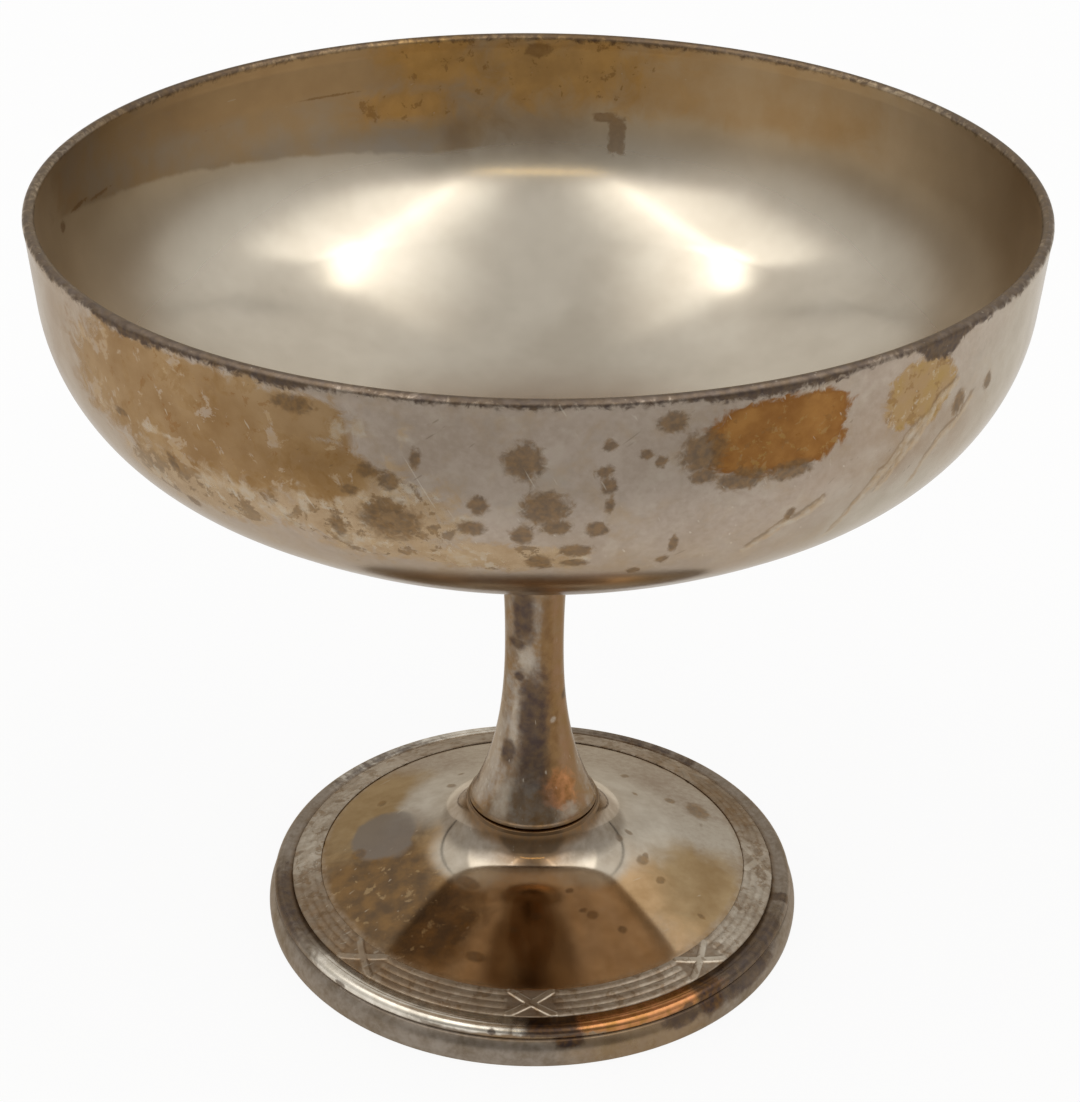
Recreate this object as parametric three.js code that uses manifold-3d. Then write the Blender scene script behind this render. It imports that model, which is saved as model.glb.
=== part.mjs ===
// A footed dessert bowl in silver plate: a spun bowl on a hollow trumpet stem, above a pressed foot
// with a border of reeds tied by crossed ribbons. A stud and a nut inside draw the three together.
// Millimetres, +Z up, with the origin in the middle of the ring that the foot stands on.
import * as THREE from 'three';
import { mergeVertices } from 'three/addons/utils/BufferGeometryUtils.js';
import Module from 'manifold-3d';

// Overall sizes
const overallHeight = 83;
const bowlRadius = 48;
const footRadius = 28.85;

// Bowl: an upright wall, a round knuckle and a shallow base that ends in a flat seat
const bowlWall = 0.9;
const wallLean = 4.7;
const wallHeight = 8;
const knuckleRadius = 18.8;
const knuckleEnd = 54.5;
const seatFlatRadius = 6.6;
const lipSwell = 0.12;
const lipHeight = 1.3;

// Stem: a trumpet from the foot's neck to its waist, and a short flare up to the bowl
const stemBaseRadius = 6.95;
const stemWaistRadius = 3.07;
const stemTopRadius = 6;
const stemWall = 0.85;
const waistHeight = 19.6;
const stemEdge = 0.3;
const edgeSoftening = 0.06;

// Handles of the stem's two curves, as shares of the spread and of the height that each one covers
const trumpetSpread = 0.33;
const trumpetLowHandle = 0.26;
const trumpetHighHandle = 0.46;
const flareSpread = 0.2;
const flareLowHandle = 0.45;
const flareHighHandle = 0.22;

// Foot plate: a low cone that sweeps up into a neck, with a steeper seat for the border and a
// turned-down edge
const plateThickness = 0.9;
const plateSlope = 16.5;
const seatSlope = 26;
const plateHeight = 5.15;
const neckHeight = 13.4;
const neckLean = 11;
const neckLip = 0.2;
const sweepRadius = 13;
const sweepConeHandle = 0.85;
const sweepNeckHandle = 0.5;
const flangeLift = 0.6;
const flangeInnerBend = 0.3;

// Edge moulding of the foot: a band that bulges low down and leans in, with a bead on top
const rimWidth = 2.5;
const rimUndercut = 0.15;
const bulgeHeight = 1.2;
const bandHeight = 2.9;
const bandLean = 0.65;
const beadRadius = 0.8;
const beadInset = 1.4;
const beadRise = 0.6;
const beadStart = -40;
const beadEnd = 160;

// Border: concentric reeds, tied by pairs of crossed ribbons
const borderWidth = 3.1;
const borderThickness = 0.42;
const reedCount = 4;
const reedHeight = 0.2;
const reedPinch = 0.6;
const tieCount = 8;
const tieLength = 5.2;
const ribbonWidth = 1.1;
const ribbonHeight = 0.14;

// Stud, seat, washer and nut
const studRadius = 2;
const studChamfer = 0.4;
const studTail = 1.2;
const seatDepth = 2.6;
const washerRadius = 5.4;
const washerThickness = 0.8;
const nutFlats = 7;
const nutHeight = 3.2;

// Clearances
const slipGap = 0.15;
const threadGap = 0.1;
const solderGap = 0.1;
const seatGap = 0.3;

// Facets
const roundFacets = 52;
const stemFacets = 32;
const smallFacets = 24;
const tieColumns = 9;
const plainColumns = 4;
const reedSteps = 3;

const rad = THREE.MathUtils.degToRad;
const at = (r, z) => new THREE.Vector2(r, z);

// Points of a circular arc in the (r, z) half plane, angles in degrees from the +r direction.
function arc(centre, radius, from, to, steps) {
  const curve = new THREE.EllipseCurve(centre.x, centre.y, radius, radius, rad(from), rad(to), to < from);
  return curve.getPoints(steps);
}

// Points of a cubic curve, from one value of its parameter to another.
function bend(curve, from, to, steps) {
  return Array.from({ length: steps + 1 }, (_, i) => curve.getPoint(from + ((to - from) * i) / steps));
}

// The parameter at which a rising curve reaches a height, by halving the interval.
function parameterAt(curve, z) {
  let low = 0;
  let high = 1;
  for (let i = 0; i < 40; i++) {
    const middle = (low + high) / 2;
    if (curve.getPoint(middle).y < z) low = middle;
    else high = middle;
  }
  return low;
}

const shift = (points, dr) => points.map((p) => at(p.x + dr, p.y));

// A curve moved sideways by a depth, to the left of its course.
const beside = (curve, depth) => ({
  getPoint(t) {
    const course = curve.getTangent(t);
    return curve.getPoint(t).add(at(-course.y, course.x).multiplyScalar(depth));
  },
});

// A solid of revolution about +Z. The outline runs anticlockwise in the (r, z) half plane: up the
// outside and down the inside. It ends on the axis, or closes on itself where it is given as a ring.
function revolve(outline, facets, ring) {
  const points = ring ? [...outline, outline[0].clone()] : outline;
  return new THREE.LatheGeometry(points, facets).rotateX(Math.PI / 2);
}

const wasm = await Module();
wasm.setup();

// A closed geometry as a solid for cutting, and a cut solid as a geometry again.
function toSolid(geometry) {
  const bare = new THREE.BufferGeometry();
  bare.setAttribute('position', geometry.getAttribute('position'));
  bare.setIndex(geometry.index);
  const merged = mergeVertices(bare);
  const mesh = new wasm.Mesh({
    numProp: 3,
    vertProperties: merged.getAttribute('position').array,
    triVerts: new Uint32Array(merged.index.array),
  });
  return new wasm.Manifold(mesh);
}

function toGeometry(solid) {
  const mesh = solid.getMesh();
  const geometry = new THREE.BufferGeometry();
  geometry.setAttribute('position', new THREE.BufferAttribute(mesh.vertProperties, 3));
  geometry.setIndex(new THREE.BufferAttribute(mesh.triVerts, 1));
  geometry.computeVertexNormals();
  return geometry;
}

// Bowl: the outside runs down the wall, round the knuckle and in along the base to the flat seat.
const wallFoot = at(bowlRadius - wallHeight * Math.tan(rad(wallLean)), overallHeight - wallHeight);
const knuckleCentre = at(
  wallFoot.x - knuckleRadius * Math.cos(rad(wallLean)),
  wallFoot.y + knuckleRadius * Math.sin(rad(wallLean)),
);
const knuckleFoot = at(
  knuckleCentre.x + knuckleRadius * Math.cos(rad(knuckleEnd)),
  knuckleCentre.y - knuckleRadius * Math.sin(rad(knuckleEnd)),
);
const baseRadius = (knuckleFoot.x - seatFlatRadius) / Math.cos(rad(knuckleEnd));
const baseCentre = at(seatFlatRadius, knuckleFoot.y + baseRadius * Math.sin(rad(knuckleEnd)));
const bowlBottom = baseCentre.y - baseRadius;

function bowlShell() {
  const lean = at(Math.cos(rad(wallLean)), -Math.sin(rad(wallLean)));
  const wallAt = (z, depth) => {
    const r = bowlRadius - (overallHeight - z) * Math.tan(rad(wallLean));
    return at(r - depth / lean.x, z);
  };
  const face = (depth) => [
    ...arc(baseCentre, baseRadius - depth, -90, -knuckleEnd, 6),
    ...arc(knuckleCentre, knuckleRadius - depth, -knuckleEnd, -wallLean, 7).slice(1),
    wallAt(overallHeight - lipHeight, depth),
  ];
  const lipRadius = bowlWall / 2 + lipSwell;
  const lipCentre = at(bowlRadius - lipRadius, overallHeight - lipRadius);
  const outline = [
    at(0, bowlBottom),
    ...face(0),
    ...arc(lipCentre, lipRadius, 0, 180, 6),
    ...face(bowlWall).reverse(),
    at(0, bowlBottom + bowlWall),
  ];
  return revolve(outline, roundFacets);
}

// Stem: two cubic curves that meet at the waist, upright there.
const stemBase = neckHeight;
const stemTop = bowlBottom;
const waist = at(stemWaistRadius, stemBase + waistHeight);
const trumpet = new THREE.CubicBezierCurve(
  at(stemBaseRadius, stemBase),
  at(
    stemWaistRadius + (stemBaseRadius - stemWaistRadius) * trumpetSpread,
    stemBase + waistHeight * trumpetLowHandle,
  ),
  at(stemWaistRadius, waist.y - waistHeight * trumpetHighHandle),
  waist,
);
const flareHeight = stemTop - waist.y;
const flare = new THREE.CubicBezierCurve(
  waist,
  at(stemWaistRadius, waist.y + flareHeight * flareLowHandle),
  at(
    stemWaistRadius + (stemTopRadius - stemWaistRadius) * flareSpread,
    stemTop - flareHeight * flareHighHandle,
  ),
  at(stemTopRadius, stemTop),
);

function stem() {
  const lower = bend(trumpet, 0, 1, 9);
  const upper = bend(flare, 0, 1, 7).slice(1);
  const bore = shift([...lower, ...upper], -stemWall).reverse();
  const edge = at(stemBaseRadius - stemEdge, stemBase);
  lower[0] = at(stemBaseRadius - edgeSoftening, stemBase + stemEdge);
  return revolve([edge, ...lower, ...upper, ...bore], stemFacets, true);
}

// Foot plate: the surface of the cone and of the border's seat at a radius, and the curve that
// sweeps the cone up into the neck. The curve's handles lie on the cone and on the neck, towards
// the corner where the two would meet.
const rimInner = footRadius - rimWidth;
const borderOuter = rimInner - slipGap;
const borderInner = borderOuter - borderWidth;
const plateFall = Math.tan(rad(plateSlope));
const seatFall = Math.tan(rad(seatSlope));
const plateAt = (r) => plateHeight + (borderInner - r) * (r > borderInner ? seatFall : plateFall);
const neckRadius = stemBaseRadius + neckLip;

function footSweep() {
  const lean = Math.tan(rad(neckLean));
  const cornerRadius = (neckRadius + lean * (neckHeight - plateAt(0))) / (1 - lean * plateFall);
  const corner = at(cornerRadius, plateAt(cornerRadius));
  const start = at(sweepRadius, plateAt(sweepRadius));
  const end = at(neckRadius, neckHeight);
  return new THREE.CubicBezierCurve(
    start,
    start.clone().lerp(corner, sweepConeHandle),
    end.clone().lerp(corner, sweepNeckHandle),
    end,
  );
}

function footPlate() {
  const holeRadius = studRadius + slipGap;
  const flangeRadius = rimInner - slipGap;
  const flangeBend = flangeInnerBend + plateThickness;
  const bendCentre = at(flangeRadius - flangeBend, 0);
  bendCentre.y = plateAt(bendCentre.x) - flangeBend / Math.cos(rad(seatSlope));
  const kneeTilt = rad((plateSlope + seatSlope) / 2);
  const kneeStretch = 1 / Math.cos(rad((seatSlope - plateSlope) / 2));
  const kneeNormal = at(Math.sin(kneeTilt), Math.cos(kneeTilt)).multiplyScalar(kneeStretch);
  const ceiling = neckHeight - plateThickness;
  const face = (depth, top) => {
    const sweep = beside(footSweep(), depth);
    return [
      at(flangeRadius - depth, flangeLift),
      ...arc(bendCentre, flangeBend - depth, 0, 90 - seatSlope, 3),
      at(borderInner, plateHeight).addScaledVector(kneeNormal, -depth),
      ...bend(sweep, 0, parameterAt(sweep, top), 6),
    ];
  };
  const outline = [
    ...face(0, neckHeight - stemEdge),
    at(neckRadius - stemEdge, neckHeight),
    at(holeRadius, neckHeight),
    at(holeRadius, ceiling),
    ...face(plateThickness, ceiling).reverse(),
  ];
  return revolve(outline, roundFacets, true);
}

// Edge moulding: the outline starts at the inner bottom corner and runs anticlockwise.
function footRim() {
  const bulge = at(footRadius, bulgeHeight);
  const low = new THREE.QuadraticBezierCurve(
    at(footRadius - rimUndercut, 0),
    at(footRadius, bulgeHeight / 2),
    bulge,
  );
  const high = new THREE.QuadraticBezierCurve(
    bulge,
    at(footRadius, (bulgeHeight + bandHeight) / 2),
    at(footRadius - bandLean, bandHeight),
  );
  const beadCentre = at(footRadius - beadInset, bandHeight + beadRise);
  const outline = [
    at(rimInner, 0),
    ...low.getPoints(2),
    ...high.getPoints(2).slice(1),
    ...arc(beadCentre, beadRadius, beadStart, beadEnd, 7),
    at(rimInner, beadCentre.y),
  ];
  return revolve(outline, roundFacets, true);
}

// Border: how far the surface stands above the strip at a share across it (0 inner, 1 outer) and a
// distance along it from the nearest tie. Two ribbons cross over the reeds, each a flat-topped band.
function borderRelief(share, along) {
  const reed = reedHeight * Math.abs(Math.sin(Math.PI * reedCount * share));
  const reach = along / (tieLength / 2);
  if (Math.abs(reach) > 1) return reed;
  const slant = Math.hypot(borderWidth, tieLength) / tieLength;
  const ribbon = [1, -1].some((hand) => {
    const offset = (share - 0.5 - (hand * reach) / 2) * borderWidth;
    return Math.abs(offset) < (ribbonWidth / 2) * slant;
  });
  return ribbon ? reedHeight + ribbonHeight : reed * reedPinch;
}

// The border is lofted round the foot through a section at each angle, closer together at the ties.
function reedBorder() {
  const pitch = (2 * Math.PI) / tieCount;
  const middle = (borderInner + borderOuter) / 2;
  const tieAngle = tieLength / middle;
  const angles = [];
  for (let tie = 0; tie < tieCount; tie++) {
    const centre = tie * pitch - Math.PI / 2;
    for (let i = 0; i < tieColumns; i++) {
      const share = i / (tieColumns - 1) - 0.5;
      angles.push([centre + tieAngle * share, tieLength * share]);
    }
    for (let i = 1; i < plainColumns; i++) {
      angles.push([centre + tieAngle / 2 + ((pitch - tieAngle) * i) / plainColumns, tieLength]);
    }
  }
  const steps = reedCount * reedSteps;
  const positions = [];
  const index = [];
  const across = steps + 3;
  angles.forEach(([angle, along], column) => {
    const put = (r, z) => positions.push(r * Math.cos(angle), r * Math.sin(angle), z);
    put(borderInner, plateAt(borderInner) + solderGap);
    put(borderOuter, plateAt(borderOuter) + solderGap);
    for (let i = steps; i >= 0; i--) {
      const share = i / steps;
      const r = borderInner + borderWidth * share;
      put(r, plateAt(r) + solderGap + borderThickness + borderRelief(share, along));
    }
    const next = ((column + 1) % angles.length) * across;
    for (let i = 0; i < across; i++) {
      const a = column * across + i;
      const b = column * across + ((i + 1) % across);
      const c = next + ((i + 1) % across);
      const d = next + i;
      index.push(a, d, c, a, c, b);
    }
  });
  const geometry = new THREE.BufferGeometry();
  geometry.setAttribute('position', new THREE.Float32BufferAttribute(positions, 3));
  geometry.setIndex(index);
  geometry.computeVertexNormals();
  return geometry;
}

// Seat: a plug soldered to the bowl's flat, which fills the top of the stem's flare.
function bowlSeat() {
  const holeRadius = studRadius + threadGap;
  const start = parameterAt(flare, stemTop - seatDepth);
  const side = shift(bend(flare, start, 1, 3), -stemWall - seatGap);
  const outline = [at(holeRadius, side[0].y), ...side, at(holeRadius, bowlBottom)];
  return revolve(outline, smallFacets, true);
}

const washerTop = neckHeight - plateThickness;
const nutTop = washerTop - washerThickness;
const studBottom = nutTop - nutHeight - studTail;

function tieStud() {
  const top = bowlBottom - seatGap;
  const outline = [
    at(0, studBottom),
    at(studRadius - studChamfer, studBottom),
    at(studRadius, studBottom + studChamfer),
    at(studRadius, top - studChamfer),
    at(studRadius - studChamfer, top),
    at(0, top),
  ];
  return revolve(outline, smallFacets);
}

function clampWasher() {
  const holeRadius = studRadius + slipGap;
  const outline = [
    at(holeRadius, washerTop - washerThickness),
    at(washerRadius, washerTop - washerThickness),
    at(washerRadius, washerTop),
    at(holeRadius, washerTop),
  ];
  return revolve(outline, smallFacets, true);
}

// Nut: a hexagon prism whose corners are turned off by a cone at both ends.
function clampNut() {
  const corner = nutFlats / 2 / Math.cos(Math.PI / 6);
  const hexagon = new THREE.Shape();
  for (let i = 0; i < 6; i++) {
    const angle = (i * Math.PI) / 3;
    hexagon[i ? 'lineTo' : 'moveTo'](corner * Math.cos(angle), corner * Math.sin(angle));
  }
  hexagon.closePath();
  const hole = new THREE.Path().absarc(0, 0, studRadius + threadGap, 0, 2 * Math.PI, true);
  hexagon.holes.push(hole);
  const prism = new THREE.ExtrudeGeometry(hexagon, {
    depth: nutHeight,
    bevelEnabled: false,
    curveSegments: smallFacets / 2,
  });
  const turned = (corner - nutFlats / 2) * Math.tan(rad(30));
  const cone = revolve(
    [
      at(0, 0),
      at(nutFlats / 2, 0),
      at(corner, turned),
      at(corner, nutHeight - turned),
      at(nutFlats / 2, nutHeight),
      at(0, nutHeight),
    ],
    smallFacets * 2,
  );
  return toGeometry(toSolid(prism).intersect(toSolid(cone))).translate(0, 0, nutTop - nutHeight);
}

// Finishes, from the worn plate of the bowl to the plain brass of the hidden fastenings
const finish = {
  silver: { color: 0xa79f94, roughness: 0.28, metalness: 1 },
  wornStem: { color: 0x8f7f70, roughness: 0.34, metalness: 1 },
  goldenFoot: { color: 0x8d7753, roughness: 0.26, metalness: 1 },
  dullBorder: { color: 0x8a8074, roughness: 0.4, metalness: 1 },
  brass: { color: 0xa98b4f, roughness: 0.45, metalness: 1 },
};

const bowl = new THREE.Group();

function addPiece(name, geometry, look) {
  const mesh = new THREE.Mesh(geometry, new THREE.MeshStandardMaterial(look));
  mesh.name = name;
  bowl.add(mesh);
}

addPiece('bowl_shell', bowlShell(), finish.silver);
addPiece('bowl_seat', bowlSeat(), finish.brass);
addPiece('stem', stem(), finish.wornStem);
addPiece('tie_stud', tieStud(), finish.brass);
addPiece('foot_plate', footPlate(), finish.goldenFoot);
addPiece('reed_border', reedBorder(), finish.dullBorder);
addPiece('foot_rim', footRim(), finish.silver);
addPiece('clamp_washer', clampWasher(), finish.brass);
addPiece('clamp_nut', clampNut(), finish.brass);

export default bowl;
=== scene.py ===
from collections import namedtuple

import bpy
import numpy as np
from mathutils import Matrix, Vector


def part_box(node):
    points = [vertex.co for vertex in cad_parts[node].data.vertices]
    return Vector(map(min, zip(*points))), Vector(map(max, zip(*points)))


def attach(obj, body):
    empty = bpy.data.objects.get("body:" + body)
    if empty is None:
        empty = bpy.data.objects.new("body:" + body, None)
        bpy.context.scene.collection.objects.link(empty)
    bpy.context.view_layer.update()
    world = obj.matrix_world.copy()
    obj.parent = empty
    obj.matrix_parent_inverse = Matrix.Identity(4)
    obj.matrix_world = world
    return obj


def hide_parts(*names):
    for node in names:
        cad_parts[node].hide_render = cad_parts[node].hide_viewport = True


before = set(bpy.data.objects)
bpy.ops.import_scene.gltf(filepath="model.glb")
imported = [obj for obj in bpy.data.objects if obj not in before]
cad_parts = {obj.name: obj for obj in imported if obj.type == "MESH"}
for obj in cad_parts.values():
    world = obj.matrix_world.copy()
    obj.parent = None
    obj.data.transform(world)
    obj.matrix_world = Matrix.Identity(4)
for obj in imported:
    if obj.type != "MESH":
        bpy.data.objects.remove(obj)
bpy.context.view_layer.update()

bl_info = {
    "name": "Footed dessert bowl",
    "version": (1, 0, 0),
    "blender": (4, 5, 0),
    "location": "View3D > Sidebar > Dessert bowl",
    "description": "Surfaces and worn silver finishes for a footed dessert bowl",
    "category": "Add Mesh",
}

MM = 0.001
BODY = "root"

BOWL_COLUMNS = 640
STEM_COLUMNS = 128
FOOT_COLUMNS = 256
BORDER_COLUMNS, BORDER_ROWS = 1440, 54
RIM_COLUMNS = 360
STUD_COLUMNS, WASHER_COLUMNS, NUT_COLUMNS = 48, 96, 192

BOWL_LOW, BOWL_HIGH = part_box("bowl_shell")
STEM_LOW, STEM_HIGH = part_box("stem")
PLATE_LOW, PLATE_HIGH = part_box("foot_plate")
RIM_LOW, RIM_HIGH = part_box("foot_rim")
STUD_LOW, STUD_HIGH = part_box("tie_stud")
WASHER_LOW, WASHER_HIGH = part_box("clamp_washer")
NUT_LOW, NUT_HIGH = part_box("clamp_nut")


def length(name, description, default):
    """A size in metres."""
    return bpy.props.FloatProperty(
        name=name, description=description, default=default, unit="LENGTH", precision=5
    )


def turn(name, description, degrees):
    """An angle, given in degrees and kept in radians."""
    return bpy.props.FloatProperty(
        name=name, description=description, default=np.radians(degrees), subtype="ANGLE"
    )


def share(name, description, default):
    """A share from 0 to 1."""
    return bpy.props.FloatProperty(
        name=name, description=description, default=default, min=0, max=1, subtype="FACTOR"
    )


def count(name, description, default):
    """How many there are of something."""
    return bpy.props.IntProperty(name=name, description=description, default=default, min=1)


def level(name, description, default):
    """A brightness, where 1 is white."""
    return bpy.props.FloatProperty(name=name, description=description, default=default, min=0)


def tint(name, description, default):
    """A colour in linear red, green and blue."""
    return bpy.props.FloatVectorProperty(
        name=name, description=description, default=default, size=3, min=0, max=1, subtype="COLOR"
    )


class BowlSizes(bpy.types.PropertyGroup):
    """The spun bowl: an upright wall, a round knuckle and a shallow base."""

    rim_radius: length("Rim radius", "Outside of the lip", BOWL_HIGH.x)
    rim_height: length("Rim height", "Top of the lip above the table", BOWL_HIGH.z)
    seat_height: length("Seat height", "Underside of the flat seat", BOWL_LOW.z)
    wall: length("Wall", "Thickness of the metal", 0.9 * MM)
    wall_height: length("Wall height", "From the knuckle up to the lip", 8 * MM)
    wall_lean: turn("Wall lean", "Outward lean of the wall from upright", 4.7)
    knuckle_radius: length("Knuckle radius", "Bend between the wall and the base", 18.8 * MM)
    knuckle_end: turn("Knuckle end", "How far round the knuckle bends", 54.5)
    flat_radius: length("Flat radius", "Flat seat in the middle of the base", 6.6 * MM)
    lip_swell: length("Lip swell", "How far the burnished lip is thicker than the wall", 0.12 * MM)
    lip_height: length("Lip height", "Depth of the burnished lip", 1.3 * MM)


class StemSizes(bpy.types.PropertyGroup):
    """The hollow stem: a trumpet below its waist and a short flare above it."""

    base_radius: length("Base radius", "Where the stem meets the foot", STEM_HIGH.x)
    base_height: length("Base height", "Lower end of the stem", STEM_LOW.z)
    top_height: length("Top height", "Upper end of the stem", STEM_HIGH.z)
    waist_radius: length("Waist radius", "Narrowest part", 3.07 * MM)
    top_radius: length("Top radius", "Where the stem meets the bowl", 6 * MM)
    waist_height: length("Waist height", "From the lower end up to the waist", 19.6 * MM)
    wall: length("Wall", "Thickness of the metal", 0.85 * MM)
    edge: length("Edge", "Rounding of the lower edge", 0.3 * MM)


class FootSizes(bpy.types.PropertyGroup):
    """The pressed foot: a low cone that sweeps up into a neck, a steeper seat and a turned-down edge."""

    edge_radius: length("Edge radius", "Outside of the turned-down edge", PLATE_HIGH.x)
    edge_height: length("Edge height", "Bottom of the turned-down edge", PLATE_LOW.z)
    neck_height: length("Neck height", "Top of the neck", PLATE_HIGH.z)
    neck_radius: length("Neck radius", "Neck at its top", 7.15 * MM)
    neck_lean: turn("Neck lean", "Inward lean of the neck", 11)
    sweep_radius: length("Sweep radius", "Where the cone starts to sweep up into the neck", 13 * MM)
    neck_handle: share("Neck handle", "How far the sweep's handle follows the neck", 0.5)
    cone_handle: share("Cone handle", "How far the sweep's handle follows the cone", 0.85)
    slope: turn("Slope", "Slope of the cone", 16.5)
    seat_slope: turn("Seat slope", "Slope of the seat under the border", 26)
    border_radius: length("Border radius", "Inner edge of the border", 23.1 * MM)
    border_height: length("Border height", "Cone at the inner edge of the border", 5.15 * MM)
    metal: length("Metal", "Thickness of the metal", 0.9 * MM)
    edge_bend: length("Edge bend", "Outside radius of the turned-down edge", 1.2 * MM)
    hole_radius: length("Hole radius", "Hole for the stud", 2.15 * MM)
    neck_edge: length("Neck edge", "Rounding of the neck's top", 0.3 * MM)


class BorderSizes(bpy.types.PropertyGroup):
    """The border: concentric reeds, tied by pairs of crossed ribbons."""

    width: length("Width", "Across the strip", 3.15 * MM)
    lift: length("Lift", "Underside of the strip above its seat", 0.02 * MM)
    step: length("Step", "Strip's inner edge above the cone", 0.13 * MM)
    fall: turn("Fall", "Slope of the strip below the reeds", 16.8)
    edge: length("Edge", "Rounding of the strip's edges", 0.1 * MM)
    reeds: count("Reeds", "Reeds side by side", 4)
    reed_height: length("Reed height", "Reeds above the strip", 0.09 * MM)
    ties: count("Ties", "Crossed ribbons round the foot", 8)
    tie_length: length("Tie length", "Length of a crossing", 5.2 * MM)
    ribbon_width: length("Ribbon width", "Width of one ribbon", 0.8 * MM)
    ribbon_height: length("Ribbon height", "Ribbon above the reeds", 0.01 * MM)
    overlap: length("Overlap", "Upper ribbon above the lower one", 0.02 * MM)
    pinch: share("Pinch", "What is left of the reeds beside a ribbon", 0.15)
    worn: share("Worn", "What is left of the relief where it is worn most", 0.45)
    crisp: turn("Crisp", "Where the relief is worn least", 22)


class RimSizes(bpy.types.PropertyGroup):
    """The edge moulding of the foot: a band that bulges low down and leans in, with a bead on top."""

    radius: length("Radius", "Outside of the moulding", RIM_HIGH.x)
    top: length("Top", "Top of the bead", RIM_HIGH.z)
    width: length("Width", "Across the moulding", 2.74 * MM)
    undercut: length("Undercut", "How far the band draws in at the table", 0.15 * MM)
    bulge: length("Bulge", "Height of the widest part", 1.2 * MM)
    band: length("Band", "Height of the band", 2.9 * MM)
    lean: length("Lean", "How far the band draws in at its top", 0.65 * MM)
    bead: length("Bead", "Radius of the bead", 0.8 * MM)
    inset: length("Inset", "Middle of the bead inside the widest part", 1.4 * MM)
    bead_start: turn("Bead start", "Where the bead leaves the band", -40)
    bead_end: turn("Bead end", "Where the bead meets the groove", 120)
    groove: length("Groove", "Bottom of the groove above the table", 4.3 * MM)
    edge: length("Edge", "Rounding of the lower corners", 0.15 * MM)


class FasteningSizes(bpy.types.PropertyGroup):
    """The stud that draws the pieces together, with its washer and nut."""

    pitch: length("Pitch", "Pitch of the stud's thread", 0.7 * MM)
    thread_depth: length("Thread depth", "Depth of the thread", 0.38 * MM)
    threaded_low: length("Lower thread", "Length of the thread at the nut", 9 * MM)
    threaded_high: length("Upper thread", "Length of the thread at the bowl", 5 * MM)
    hole_radius: length("Hole radius", "Hole through the washer and the nut", 2.12 * MM)
    flats: length("Flats", "Nut across its flats", 7 * MM)
    chamfer: turn("Chamfer", "Slope of the nut's turned corners", 30)
    edge: length("Edge", "Rounding of the washer's edge", 0.15 * MM)


class Colours(bpy.types.PropertyGroup):
    """Colours of the worn plate, in linear light."""

    silver: tint("Silver", "Bright plate", (0.66, 0.60, 0.50))
    silver_shade: tint("Silver shade", "Dull plate", (0.53, 0.47, 0.38))
    blush: tint("Blush", "Pinkish plate on the outside of the bowl", (0.46, 0.38, 0.31))
    blush_shade: tint("Blush shade", "Dull plate on the outside of the bowl", (0.365, 0.29, 0.225))
    frost: tint("Frost", "Greyish plate on the right of the bowl", (0.57, 0.54, 0.48))
    frost_shade: tint("Frost shade", "Dull greyish plate", (0.46, 0.43, 0.37))
    amber: tint("Amber", "Light amber tarnish", (0.37, 0.235, 0.11))
    amber_shade: tint("Amber shade", "Deep amber tarnish", (0.25, 0.135, 0.045))
    rust: tint("Rust", "Light orange tarnish", (0.38, 0.18, 0.045))
    rust_shade: tint("Rust shade", "Deep orange tarnish", (0.24, 0.095, 0.018))
    straw: tint("Straw", "Yellow tarnish", (0.37, 0.23, 0.062))
    tan: tint("Tan", "Brown film on the inside", (0.47, 0.33, 0.185))
    tan_shade: tint("Tan shade", "Deep brown film on the inside", (0.37, 0.25, 0.125))
    brown: tint("Brown", "Brown spots", (0.13, 0.085, 0.050))
    violet: tint("Violet", "Nearly black tarnish", (0.060, 0.042, 0.040))
    steel: tint("Steel", "Bluish grey film", (0.22, 0.185, 0.155))
    copper: tint("Copper", "Bare copper", (0.62, 0.265, 0.11))
    copper_shade: tint("Copper shade", "Dull copper", (0.26, 0.145, 0.075))
    gold: tint("Gold", "Golden film on the foot", (0.41, 0.285, 0.145))
    gold_shade: tint("Gold shade", "Deep golden film on the foot", (0.29, 0.18, 0.075))
    umber: tint("Umber", "Brown film on the foot", (0.24, 0.14, 0.06))
    umber_shade: tint("Umber shade", "Deep brown film on the foot", (0.17, 0.09, 0.035))
    dull: tint("Dull", "Worn tops of the border", (0.43, 0.36, 0.285))
    dull_shade: tint("Dull shade", "Grime in the border", (0.20, 0.155, 0.11))
    pewter: tint("Pewter", "Worn edge moulding", (0.33, 0.28, 0.23))
    # Partly a painted highlight: the bright streak on the bead.
    polish_highlight: tint("Polish", "Bead worn bright", (0.86, 0.80, 0.70))
    honey: tint("Honey", "Golden film at the front of the foot", (0.64, 0.43, 0.235))
    honey_shade: tint("Honey shade", "Deep golden film at the front of the foot", (0.48, 0.30, 0.145))
    ochre: tint("Ochre", "Golden tarnish on the inside", (0.56, 0.325, 0.095))
    ochre_shade: tint("Ochre shade", "Deep golden tarnish on the inside", (0.40, 0.225, 0.06))
    brass: tint("Brass", "Plain brass of the fastenings", (0.50, 0.34, 0.13))
    brass_shade: tint("Brass shade", "Aged brass", (0.25, 0.16, 0.06))


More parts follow.
